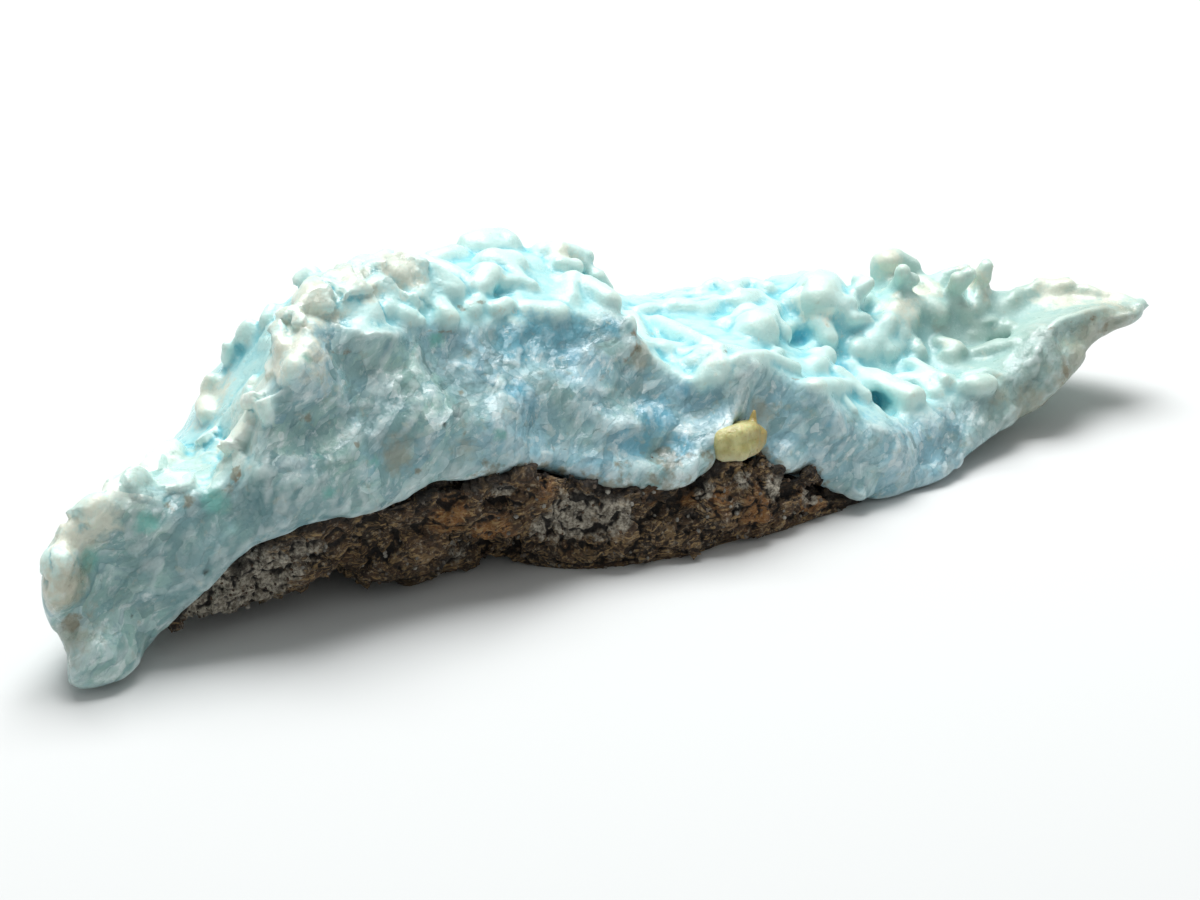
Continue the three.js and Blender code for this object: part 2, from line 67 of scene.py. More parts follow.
# Each knob runs from ball to ball: x, y, z and radius of each, in mm; a last 1 is a snapped end.
KNOBS = [
    # soft scales and knobs on top of the hump
    (-12, 10, 33, 3, -8.5, 10, 32.5, 3), (-20, 7, 34, 1.9, -17, 7.5, 33.5, 2.1),
    (-14, 3.5, 33.2, 2.4, -11, 3.5, 32.8, 2.2), (-17, -0.5, 33.5, 1.7, -15.5, 0, 33.5, 1.5),
    (-15, -1.5, 33, 1.1, -12.5, -1.5, 32.5, 1, -11, -2.5, 32, 0.7),
    (-23.5, 3.5, 35, 1.8, -22, 1, 34.5, 1.8, -20.5, -2, 33.5, 1.5),
    (-4, 7, 32, 1.7, -2.5, 7, 32, 1.5, 0.5, 6.5, 31.2, 1.5), (-4.5, -1.5, 31, 1.4),
    (-3.5, 3, 31.5, 1.4, -1.5, 3, 31, 1.2), (1.5, 6, 30.2, 1.4, 2.4, 6, 30.8, 1),
    (-3, -3, 30, 1.8, -2, -6.5, 29.3, 1.7), (2.8, 4, 28.6, 1.1, 4.2, 4, 26.4, 1),
    (-1, -10, 27.5, 0.9, -2, -13, 25.5, 0.7), (-22, -5.5, 32, 1.2, -20, -4.5, 32.5, 0.8),
    (-18.5, -6, 31.5, 1.2, -17, -5.5, 31.5, 1.1), (-14, -6, 29.6, 2, -10.5, -7, 29.2, 2),
    # blunt blocks at the hump's left
    (-41.5, 1.5, 37.5, 1.5, -41, 1, 38.5, 1.1), (-40.5, -2, 37.5, 2.1, -38, -2, 38, 1.8),
    (-35.5, 0, 38.5, 1.4, -33.5, 1.5, 38.5, 1.1), (-33, -1, 38, 1.7, -30.5, 1, 38.6, 1.1),
    (-31, -2.5, 37, 1.9, -27.5, 0.5, 36.5, 1.7), (-44.5, -3, 36.5, 2.1, -47, -9.5, 36, 1.7),
    (-42.5, -7.5, 36.5, 1.7, -40, -5, 37, 1.5), (-40.5, -8.5, 35.5, 1.2, -38, -7, 36, 1.2),
    (-35.5, -7, 35, 1.7, -33.5, -5, 35, 1.7), (-30, -5, 34.5, 1.7, -27.5, -3.5, 35, 1.5),
    (-26.5, -4.5, 33.5, 1.5, -26.5, -7.5, 32.5, 1.4), (-33, -7.5, 34, 1.4, -31, -8, 33, 1.1),
    (-48, -6.5, 35, 1.7, -50.5, -9.5, 34, 1.7), (-51, -14.5, 33.2, 1.9, -50.5, -15, 30, 1.8),
    (-54.5, -12, 29.5, 1.6, -54.5, -14.5, 28, 1.6),
    # down the left slope and at the left end
    (-56, 1, 23, 1.2, -55, 4, 23, 1.1), (-53.5, 5, 24.5, 1.4, -53.5, 5, 25.5, 1),
    (-50.5, 5.5, 28, 1.2, -51, 5, 29.5, 0.8), (-48.5, 4, 31, 1.5, -48.5, 4, 32, 1.1),
    (-46.5, 1.5, 33.5, 1.4, -45.5, 2.5, 34, 1.2), (-66.5, -5, 20, 1.9, -62.5, -2, 20, 1.8),
    (-73.5, -11.5, 21.5, 1.7, -71, -10.5, 21.5, 1.7), (-78, -12.5, 20, 1.2, -76.5, -12.5, 21, 1.2),
    (-79.5, -12, 19, 1.2, -80.5, -12.5, 18, 1.4), (-82.5, -14, 16, 2.1, -83, -15.5, 13, 2.1),
    (-80.6, -17.4, 4.6, 2.8, -82.2, -17.6, 3.2, 2.5, -83.2, -17.9, 2.3, 1.8),
    (-78.5, -18.6, 2.6, 2, -81.5, -18.4, 2.2, 1.8),
    # leaves and horns across the dish
    (9, 4, 22, 1, 14.5, 5, 21, 1.2, 19.5, 5.5, 20, 1.2, 23, 5.5, 20.5, 0.8, 24, 5, 20.5, 0.6),
    (5, -0.5, 23, 0.7, 5, -3, 22.5, 0.8, 4.5, -5.5, 22, 0.6),
    (9, 2, 21.5, 0.8, 10.5, -2, 21.5, 1.1, 11, -5.5, 21.5, 1, 10.5, -9, 22, 0.7),
    (-2, -13, 25.5, 0.7, 4, -8.5, 22, 1.1, 4.5, -12, 21.5, 0.8),
    (4.5, -9, 22, 0.8, 6.5, -11.5, 21.5, 1.1, 8.5, -12.5, 22, 0.8),
    (18.5, -3.5, 20.5, 1.1, 23.5, -2, 19.5, 2.5, 27, -4.5, 18, 1.7),
    (25.5, 0, 19.5, 1.2, 29, 2, 19, 0.8, 31.5, 3, 19, 0.4),
    (28.5, 8.5, 20, 1.1, 32, 10.5, 19, 1.5, 33, 7, 19.5, 1.2),
    (24, 11, 19.5, 0.8, 27.5, 12, 19.5, 1, 27.5, 7.5, 20, 1.1),
    # mounds, balls and lobes of the dish
    (35, 3, 18, 2.2, 39, 3.5, 19, 3, 40, 1, 18.5, 1.9), (36, -1.5, 16.5, 1.7, 36, -3.5, 15, 1.5),
    (30, -9.5, 15, 1.9), (30.5, -13, 13.5, 1.9, 32.5, -16, 11.5, 1.5),
    (19.5, -13.5, 19.5, 0.8, 22.5, -11, 18.5, 0.6),
    (10.5, -18.5, 22.5, 1.1, 17, -15.5, 20.5, 1.1, 21, -16, 18, 1.1),
    (21, -21.5, 15, 0.8, 21.5, -22.5, 14.5, 0.7), (27.5, -19, 13, 0.7, 28, -20.5, 12, 0.6),
    (40, -5, 13, 1.7, 42.5, -4, 13, 1.4), (44.5, -5, 11.5, 1.9, 48.5, -4, 11, 1.7), (50, -6, 11, 1.2),
    (54.5, -5.5, 11, 1.2, 55.5, -7.5, 10.5, 1.5), (38, -8, 11, 1, 40, -9.5, 10.5, 1.1, 41.5, -11.5, 9.5, 1),
    (43, -10.5, 9, 1.4, 46, -12.5, 9, 1.9, 45.5, -15.5, 8.5, 1.7), (49, -14.5, 9, 1.7),
    (52.5, -14, 9, 1, 55, -15, 9.5, 1, 58, -17.5, 9, 0.8),
    (60.5, -5, 10.5, 1.5, 64.5, -4.5, 10, 1.7, 66, -6.5, 11, 1.4),
    (58.5, -8, 9, 1.4, 61.5, -10, 10, 1.7, 63, -12.5, 11.5, 1.1),
    # the first coral
    (49, -2.5, 12.5, 2.2, 50.5, 1, 15, 1.7, 53.5, 6, 16, 1.5),
    (53.6, 6.4, 19.9, 1.5, 55.6, 7.2, 19.6, 1.6, 58.2, 6.5, 18.2, 1.3),
    (53, 4, 16.5, 1.2, 55.5, 5.5, 17, 1.1),
    (50.5, -0.5, 14.5, 1.1, 52.5, 0, 15.5, 1.1, 54, 0.5, 16, 0.8),
    (48, 0.5, 15, 1.1, 48, 3.5, 16.5, 0.8, 50, 8.5, 17, 0.6),
    (48, 3, 16.5, 0.8, 41.5, -1.5, 18.5, 0.7, 40, -1, 19, 0.6),
    (43.5, -2, 16, 0.8, 40.5, -3, 17, 0.7, 39, -1.5, 18, 0.6), (58.5, 5, 16, 1.5, 58, 0.5, 15.5, 1.4),
    (56.5, -1.5, 14, 1.8), (53.2, 2.5, 17.5, 1.3, 51.6, 0.2, 20.9, 1), (53.5, 0.2, 19.2, 0.9),
    (44, 0, 19.5, 1.1, 45.3, 0, 20.3, 0.9), (44.5, 1, 19, 0.9, 44.5, 1, 20.6, 0.8),
    # the second coral, with the thin curled thread before it
    (59.5, 3.5, 16.5, 0.8, 62, 2.5, 17.5, 0.8, 64.5, 2, 18, 0.7),
    (60, -1, 15.5, 1.1, 62.5, 1, 16, 0.8, 64.5, 1.5, 17.5, 0.6), (62.5, 1.5, 16.5, 0.7, 62.5, 2, 18, 0.4),
    (60.5, -2, 14.5, 1, 60.5, -3.5, 14, 0.7), (64.5, -2.5, 14, 0.8, 66.5, 1, 15.5, 1.2, 67.5, 1, 18.5, 0.7),
    (60, -2, 17.8, 1.1, 61, -3, 19.5, 0.9), (60, -2, 17.8, 1, 59.1, -2.9, 19.3, 0.85),
    (65.4, -1, 17.8, 1.1, 65.9, -1, 19, 0.9), (64, -1, 15, 0.8, 62, -3, 14, 0.7),
    (60, -4, 13, 0.4, 61.5, -5, 12.5, 0.3, 64.5, -5, 12.5, 0.3),
    # fingers beside the hump
    (6.5, -14, 21, 1.7, 8, -14.5, 22, 1.4, 9.5, -15.5, 23, 1),
    (7, -18, 18, 1.4, 7.5, -18.5, 20.5, 1.2, 8.5, -17.5, 22.5, 1),
    (4, -14.5, 21, 0.6, 4, -13, 21.5, 0.6, 2.5, -16.5, 20, 0.4),
    # along the right wing
    (70, -2.5, 14, 0.8, 71.5, -2, 14, 1, 74, -1.5, 14, 0.8),
    (75.5, -2, 14.5, 1.1, 77, -3.5, 14.5, 1, 78.5, -4.5, 14.5, 1.1),
    (80, -6, 14, 1, 81, -7.5, 14, 0.8, 82.5, -9, 13.5, 0.7),
    (83.5, -10, 13.5, 0.7, 84, -11.5, 13.5, 0.7, 83.5, -14.5, 13.5, 0.7),
    (67, -14.5, 13.5, 0.8, 70, -13.5, 14, 0.8, 72.5, -13.5, 14, 0.8, 75.5, -13.5, 14, 0.7,
     78, -13.5, 14, 0.6),
    (66, -15, 13, 0.8, 63, -17, 12, 0.8, 61.5, -17, 10, 0.8, 59.5, -17, 9, 0.8),
    (84.9, -13.2, 13.1, 1.1, 83.5, -13.6, 12.9, 1.1, 83, -15, 12.4, 1, 80, -15.3, 12, 0.9),
    # the ledge under the wing and the right front
    (80.5, -15.3, 12.8, 1.1, 77.5, -14.6, 12, 1.3, 73.8, -14, 10.8, 1.7, 70.5, -15.8, 9.4, 1.9,
     67.7, -17, 8.5, 1.9, 64.1, -18.6, 7.4, 1.9, 61.6, -17.7, 4.9, 1.9, 59.9, -16, 3.3, 1.7,
     56.5, -18.2, 3.9, 1.6, 52.9, -20.1, 4.4, 1.5),
    # the foot of the break, hanging over the rock
    (-14, -20.3, 13.2, 1.8, -10.5, -20.9, 12, 2, -6.7, -21.6, 11.6, 2.2, -3.7, -22.8, 10.9, 2.2,
     0, -23.2, 11.4, 2.1, 3, -23.6, 12.2, 1.5),
    (14.5, -23.6, 8.4, 1.6, 18, -23.2, 9.2, 1.6, 20.5, -22.6, 8.2, 1.4),
    (-50, -19.6, 16.5, 1.6, -45.5, -19.3, 16, 1.6, -42, -18.9, 16, 1.6, -39.5, -19, 16, 1.5),
    (-38, -19.3, 17.5, 1.5, -36.5, -19.6, 18.5, 1.5, -31.5, -19.2, 17.2, 1.6, -26.5, -19.6, 17, 1.8,
     -23.5, -20.2, 17, 1.8),
]

# The edge between the grown upper side and the break below it, left to right, in mm.
BREAK_EDGE = np.array([
    (-85, -14.5, 13), (-80, -12.5, 18), (-75, -13.5, 21.4), (-68, -14, 21), (-62, -15, 20.2),
    (-58, -15, 23.4), (-54, -14, 31), (-50, -12, 35.4), (-46, -10, 37), (-35, -9, 34), (-23, -8, 31),
    (-13, -8, 30), (-6, -9, 29), (-2, -9, 29.4), (0, -11, 26), (1, -14, 22.6), (5, -17.3, 19.4),
    (8, -18, 21.4), (11, -18, 23), (15, -18, 21), (20, -18.3, 17.8), (24, -19, 15), (29, -20, 11.4),
    (37, -20, 8.6), (47, -19, 8.7), (56, -17, 9.2), (61, -16, 11.7), (65, -14.5, 14.4), (71, -13, 14),
    (79, -12.5, 14), (86, -13, 13.3),
])

# Where the crust is stained brown or tan, is teal, green, blue, mint-white or cream, gets painted shade,
# has small pits painted dark as shade, or grew in blunt blocks: x, y, z and reach of each place, in mm.
BROWN_STAINS = [
    (-50.5, -15, 27.5, 1.8), (-59.5, -14, 21.5, 1.6), (-61, -15, 20.5, 1.2), (-66, -14.5, 20, 1.8),
    (-68.5, -14.5, 20, 1.5), (-82, -15, 8.5, 2.6), (-82, -16.5, 6, 1.6), (-83, -15.5, 13.5, 1.8),
    (-45, -18, 23.5, 0.9), (-31, -19, 22, 0.9), (-29, -15, 25.5, 1), (-35, -20, 22, 0.9),
    (-29.5, -19.5, 19, 0.9), (-38, -20, 19, 1), (-31.5, -19.5, 17.5, 1.2), (-47, -12, 33, 1.4),
    (-1.5, -10, 28, 0.9), (-1.5, -12, 26.5, 0.9), (-1.5, -13, 25, 1), (9.5, -17, 23.5, 0.9),
    (57, 6.5, 18.5, 0.9), (64.5, 1, 18, 0.7), (67, 0.5, 19, 0.8), (75, -14, 13.5, 1.2),
    (76, -15.5, 12, 2), (66, -18.5, 8.5, 2.4), (63, -18, 5, 2.4), (70, -16, 9, 2),
    (13.5, -21, 12.5, 1.2), (13, -22, 10.5, 1.2), (-19.5, -20.5, 15, 2), (-12, -21, 13, 1.5),
    (-9, -20.5, 12.5, 1.5), (73, -16, 8, 1.8), (67, -19, 6, 2), (61, -19.5, 3, 2),
    (53.5, 6, 20.5, 1), (22.5, 5, 20.5, 0.7), (-23.5, -6, 33, 0.9),
]
TEAL_PATCHES = [
    (-50, -14, 34, 1.5), (-29, -9, 30.5, 1.8), (-63, -15, 19, 2.4), (-56, -2, 30, 2.2), (-57, -5, 27, 2),
    (-72, -15.5, 18.5, 2.2), (-79, -14, 15, 2.4), (-43, -18.5, 20.5, 1.4), (-50.5, -18, 23.5, 1.2),
    (-50.5, -20, 19, 1.4), (-26.5, -20, 21.5, 1.4),
]
GREEN_PARTS = [
    (-74, -17, 12, 24), (74, -16, 11, 16), (-36, -16, 27, 9), (-50, -17, 24, 8), (-4, -10, 27, 5),
]
TAN_STAINS = [
    (75, -15, 11, 5), (70, -16, 9, 5), (80, -14, 12, 4), (66, -18, 7, 4), (62, -18, 4, 4),
    (-82, -15.5, 6, 4), (-80, -17, 3, 3), (-40, -18, 21, 3), (-31, -18, 20, 3), (54, -17, 8, 3),
    (13, -20, 15, 2.5),
    (-1, -13, 24, 2.5), (-82.5, -15, 13, 4.5), (77, -14, 12, 4), (60, -17, 4, 5), (56, -2, 12, 2.2),
    (64, -2, 14, 2), (74, -15.5, 9, 4), (68, -18.5, 7, 4.5), (62, -19, 3.5, 4), (78, -16, 11, 3),
]
# Painted shade: darker grey-blue patches on the break where it lies in shade.
PAINTED_SHADE_PATCHES = [
    (-52, -19, 17, 6), (-58, -20, 18, 6), (-14, -9, 28, 5), (-8, -9.5, 28, 4), (-64, -17, 13, 5),
    (-40, -17, 24, 5), (-28, -14, 27, 4), (-50, -20, 13, 5), (-20, -10, 28.5, 4), (-3, -10, 27, 4),
    (-66, -16, 18, 5), (-60, -17, 19, 5), (-73, -17, 14, 4), (-67.5, -17, 13, 5), (-68, -18, 9, 5),
    (56, -18, 6, 6), (64, -18, 8, 5),
]
BLUE_PATCHES = [
    (-14.5, -9, 28, 4.4), (-18.5, -9.5, 28, 4), (-11.5, -10.5, 26.5, 3.6), (-9, -9.5, 27.5, 3.6),
    (-4, -10, 27, 2.4), (3, -17.5, 20, 1.6), (39, -11.5, 7.5, 2.2), (33.5, -0.5, 15, 2.4), (-2, -18, 18, 4),
    (-6, -19, 15, 4), (22, -22, 12, 2.4), (45, -20, 5, 2.6), (-21, -16, 24, 3), (30, -20, 9, 3),
    (-1, -22, 14, 3), (10, -19, 19.5, 1.6), (27, -11, 15, 3), (35, -7, 12, 2.6), (47, -10, 8, 3),
]
MINT_SLOPES = [
    (-66, -8, 21, 9), (-75, -12, 20, 7), (-58, -10, 26, 7), (-53, -10, 31, 6), (-62, -13, 22, 5),
    (-80, -13, 16, 5), (-48, -10, 35, 4), (35.5, -1, 21, 5), (-51, -15.5, 27, 4),
]
BLOCKY = [
    (-45, -5, 37, 9), (-36, -3, 37, 8), (-28, -2, 36, 6), (-54, -9, 31, 8), (-62, -8, 25, 9),
    (-72, -10, 20, 9), (-82, -14, 15, 5),
]
CREAM_CRUSTS = [
    (-45, -5.5, 37, 6), (-50, -12, 34, 5), (-38, -4, 38, 5), (-31, -2, 38, 5), (-2, 5, 32, 3),
    (-5, -1, 31, 2.4), (-80, -13, 18, 4), (-55, 3, 24, 5), (53.5, 6, 20, 3), (56, 2, 16.5, 4),
    (50, -1, 15, 4), (65, 0, 17, 3.5), (77, -5, 14, 6), (82, -9, 13.5, 5), (8, -17, 22, 2.4),
    (40, -10, 11, 1.8), (55, -7, 11, 1.8), (50, 5, 19, 3), (-83, -15, 13.5, 4), (-77, -13, 20, 3.5),
]
# Thin brown seams along the break's rim, point to point, in mm.
BROWN_SEAMS = [
    [(1, -5, 28.4), (-0.6, -9, 28.2), (-1, -10.6, 27.5), (-1.5, -13, 25.5), (-3, -13.6, 24.2),
     (-6, -14, 23.4), (-8.5, -15, 22.8)],
    [(-46, -12, 33.5), (-42, -11.5, 32.8), (-38, -10.6, 32.6)],
    [(-35, -8.5, 33.2), (-32, -8.6, 32.4), (-29, -8.4, 31.6), (-26, -9, 31)],
    [(-68, -14.5, 20.4), (-64, -14.8, 20.2), (-61, -15.2, 20.6), (-59, -14.6, 21.8)],
    [(-22.5, -6.2, 33), (-21, -6, 33.2), (-20, -5.6, 32.8)],
    [(7.5, -17.8, 20), (8, -18, 22.4), (9.4, -17, 24)],
    [(16, -18.6, 20.6), (19.5, -18.6, 18.2), (21, -19, 17), (22.5, -19, 15.6)],
    [(66, -15, 14), (70, -14, 13.9), (75, -14.3, 13.7), (79, -14.6, 13.4)],
]
# Painted shade: dark dots where tiny pits sink into the crust.
DARK_PITS = [
    (-49.4, -14.5, 33.6, 0.32), (-29.2, -9, 30.6, 0.3), (-33.3, -18.6, 23.6, 0.4), (-66, -18, 11.7, 0.4),
    (-75, -16.2, 7.5, 0.4), (-76, -17.8, 6, 0.4), (-78, -18.4, 5, 0.4), (-63.4, -17.5, 14.2, 0.3),
]


def add(tree, kind, inputs=None, **settings):
    """Adds a node with its settings and inputs."""
    made = tree.nodes.new(kind)
    for name, value in settings.items():
        setattr(made, name, value)
    feed(tree, made, inputs or {})
    return made


def feed(tree, node, inputs):
    """Sets a node's inputs: each is a value or the socket that feeds it."""
    for name, value in inputs.items():
        if isinstance(value, bpy.types.NodeSocket):
            tree.links.new(value, node.inputs[name])
        else:
            node.inputs[name].default_value = value


def shape_tree(name, numbers):
    """A geometry tree with named number inputs; returns the tree, its input and its output node."""
    tree = bpy.data.node_groups.new(name, "GeometryNodeTree")
    tree.interface.new_socket("Geometry", in_out="INPUT", socket_type="NodeSocketGeometry")
    for label, value in numbers.items():
        kind = "NodeSocketInt" if isinstance(value, int) else "NodeSocketFloat"
        tree.interface.new_socket(label, in_out="INPUT", socket_type=kind).default_value = value
    tree.interface.new_socket("Geometry", in_out="OUTPUT", socket_type="NodeSocketGeometry")
    return tree, add(tree, "NodeGroupInput"), add(tree, "NodeGroupOutput")


def close_tree(tree, end, geometry, material):
    """The last two nodes of every tree: instances made real, and the piece's material."""
    real = add(tree, "GeometryNodeRealizeInstances", {0: geometry}).outputs[0]
    painted = add(tree, "GeometryNodeSetMaterial", {"Geometry": real, "Material": material})
    feed(tree, end, {0: painted.outputs[0]})
    return tree


def pushed_out(tree, start, end, height, material):
    """A tree's last step: moves the skin out by the height."""
    normal = add(tree, "GeometryNodeInputNormal").outputs[0]
    offset = add(tree, "ShaderNodeVectorMath", {0: normal, "Scale": height}, operation="SCALE")
    moved = add(tree, "GeometryNodeSetPosition",
                {"Geometry": start.outputs["Geometry"], "Offset": offset.outputs[0]})
    return close_tree(tree, end, moved.outputs[0], material)


def run_tree(obj, tree, numbers, name):
    """Runs a geometry tree on obj and returns the result as a new plain object."""
    modifier = obj.modifiers.new("grow", "NODES")
    modifier.node_group = tree
    for item in tree.interface.items_tree:
        if item.in_out == "INPUT" and item.name in numbers:
            modifier[item.identifier] = numbers[item.name]
    return place(name, mesh_made_by(obj, modifier))


def mesh_made_by(obj, modifier):
    """The mesh that obj's modifier makes; the modifier then goes."""
    graph = bpy.context.evaluated_depsgraph_get()
    mesh = bpy.data.meshes.new_from_object(obj.evaluated_get(graph), depsgraph=graph)
    obj.modifiers.remove(modifier)
    return mesh


def place(name, data):
    made = bpy.data.objects.new(name, data)
    bpy.context.scene.collection.objects.link(made)
    return made


def bake(obj, kind, **settings):
    """Applies one modifier to obj for good."""
    modifier = obj.modifiers.new("work", kind)
    for name, value in settings.items():
        setattr(modifier, name, value)
    old, obj.data = obj.data, mesh_made_by(obj, modifier)
    bpy.data.meshes.remove(old)


def thin_out(obj, most):
    """Brings obj down to at most so many triangles."""
    bake(obj, "TRIANGULATE")
    bake(obj, "DECIMATE", ratio=min(1.0, most / len(obj.data.polygons)))


def shade_smooth(obj):
    obj.data.polygons.foreach_set("use_smooth", [True] * len(obj.data.polygons))


def drop(obj):
    mesh = obj.data
    bpy.data.objects.remove(obj)
    bpy.data.meshes.remove(mesh)


def merged_copy(node, name):
    """A copy of a CAD node's mesh with its loose triangles joined up."""
    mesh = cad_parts[node].data.copy()
    mesh.name = name
    work = bmesh.new()
    work.from_mesh(mesh)
    bmesh.ops.remove_doubles(work, verts=work.verts, dist=0.002 * MM)
    work.to_mesh(mesh)
    work.free()
    mesh.materials.clear()
    return place(name, mesh)


def points_of(obj):
    at = np.empty(len(obj.data.vertices) * 3, np.float32)
    obj.data.vertices.foreach_get("co", at)
    return at.reshape(-1, 3).astype(float)


def set_points(obj, at):
    obj.data.vertices.foreach_set("co", at.astype(np.float32).ravel())
    obj.data.update()


def normals_of(obj):
    out = np.empty(len(obj.data.vertices) * 3, np.float32)
    obj.data.vertex_normals.foreach_get("vector", out)
    return out.reshape(-1, 3).astype(float)


def edges_of(obj):
    ends = np.empty(len(obj.data.edges) * 2, np.int32)
    obj.data.edges.foreach_get("vertices", ends)
    return ends.reshape(-1, 2)


def store(obj, name, values):
    """Keeps one number per vertex for the material or a geometry tree to read."""
    layer = obj.data.attributes.get(name) or obj.data.attributes.new(name, "FLOAT", "POINT")
    layer.data.foreach_set("value", values.astype(np.float32))


def blurred(values, ends, rounds):
    """Each round takes every value half way to the mean of its neighbours."""
    count = len(values)
    degree = np.maximum(np.bincount(ends.ravel(), minlength=count), 1)
    columns = values.reshape(count, -1).copy()
    for _ in range(rounds):
        for k in range(columns.shape[1]):
            total = np.bincount(ends[:, 0], columns[ends[:, 1], k], count)
            total += np.bincount(ends[:, 1], columns[ends[:, 0], k], count)
            columns[:, k] = 0.5 * columns[:, k] + 0.5 * total / degree
    return columns.reshape(values.shape)


def evened(obj, rounds):
    """Takes off facets and small lumps without shrinking the piece: in a little, then out a little."""
    at = points_of(obj)
    ends = edges_of(obj)
    for _ in range(rounds):
        at = blurred(at, ends, 1)
        at = at - 1.05 * (blurred(at, ends, 1) - at)
    set_points(obj, at)


def step(low, high, values):
    t = np.clip((values - low) / (high - low), 0, 1)
    return t * t * (3 - 2 * t)


def hollowness(obj, rounds, reach):
    """1 deep in a hollow, 0 on a knob, 0.5 on the flat, judged over the blur's width."""
    at = points_of(obj)
    smooth = blurred(at, edges_of(obj), rounds)
    sunk = ((smooth - at) * normals_of(obj)).sum(1)
    return np.clip(0.5 + 0.5 * sunk / reach, 0, 1)


def skin_of(obj):
    return BVHTree.FromObject(obj, bpy.context.evaluated_depsgraph_get())


def gap_to(skin, at):
    return np.array([skin.find_nearest(Vector(v))[3] for v in at * MM]) / MM


def clamp_to(obj, low, high):
    set_points(obj, np.clip(points_of(obj), np.array(low), np.array(high)))


def spots(at, rows):
    """1 at the middle of any of the listed spots, fading to 0 at its reach."""
    most = np.zeros(len(at))
    for x, y, z, reach in rows:
        away = np.sqrt(((at - (x, y, z)) ** 2).sum(1)) / reach
        most = np.maximum(most, 1 - step(0.15, 1.3, away))
    return most


def seams(at, lines, reach):
    """1 on any of the listed lines, fading to 0 at the reach on either side."""
    nearest = np.full(len(at), 1e9)
    for line in lines:
        for a, b in zip(np.array(line[:-1], float), np.array(line[1:], float)):
            along = np.clip((at - a) @ (b - a) / ((b - a) @ (b - a)), 0, 1)
            nearest = np.minimum(nearest, np.linalg.norm(at - a - along[:, None] * (b - a), axis=1))
    return 1 - step(0.0, 1.0, nearest / reach)


def linear(code):
    """An sRGB hex colour as linear RGBA."""
    channels = [int(code[k:k + 2], 16) / 255 for k in (1, 3, 5)]
    return tuple(c / 12.92 if c <= 0.04045 else ((c + 0.055) / 1.055) ** 2.4 for c in channels) + (1.0,)


def new_material(name):
    """An empty node material; returns it, its tree, its Principled shader and Object coordinates."""
    made = bpy.data.materials.new(name)
    made.use_nodes = True
    tree = made.node_tree
    tree.nodes.clear()
    shader = add(tree, "ShaderNodeBsdfPrincipled")
    add(tree, "ShaderNodeOutputMaterial", {"Surface": shader.outputs[0]})
    return made, tree, shader, add(tree, "ShaderNodeTexCoord").outputs["Object"]


def painted(tree, colour, layers):
    """Lays colours over a first one: each has a mask, the span it comes in over and its most."""
    for mask, low, high, most, over in layers:
        part = add(tree, "ShaderNodeMapRange", {0: mask, 1: low, 2: high, 4: most}).outputs[0]
        under, over = (linear(tone) if isinstance(tone, str) else tone for tone in (colour, over))
        colour = add(tree, "ShaderNodeMix", {0: part, 6: under, 7: over}, data_type="RGBA").outputs[2]
    return colour


def warped(tree, where, size, reach, detail):
    """Coordinates moved about by up to half the reach, in waves of the given size."""
    wave = add(tree, "ShaderNodeTexNoise", {"Vector": where, "Scale": 1 / size, "Detail": detail})
    shift = add(tree, "ShaderNodeVectorMath", {0: wave.outputs["Color"], 1: (0.5, 0.5, 0.5)},
                operation="SUBTRACT").outputs[0]
    shift = add(tree, "ShaderNodeVectorMath", {0: shift, "Scale": reach}, operation="SCALE").outputs[0]
    return add(tree, "ShaderNodeVectorMath", {0: where, 1: shift}, operation="ADD").outputs[0]


def tilted_cells(tree, where, density):
    """Crystal grains as cells with a flat tilted face: a random colour per cell, and the face's height."""
    cell = add(tree, "ShaderNodeTexVoronoi", {"Vector": where, "Scale": density})
    away = add(tree, "ShaderNodeVectorMath", {0: where, 1: cell.outputs["Position"]},
               operation="SUBTRACT").outputs[0]
    lean = add(tree, "ShaderNodeVectorMath", {0: cell.outputs["Color"], 1: (0.5, 0.5, 0.5)},
               operation="SUBTRACT").outputs[0]
    face = add(tree, "ShaderNodeVectorMath", {0: away, 1: lean}, operation="DOT_PRODUCT")
    return cell.outputs["Color"], face.outputs["Value"]
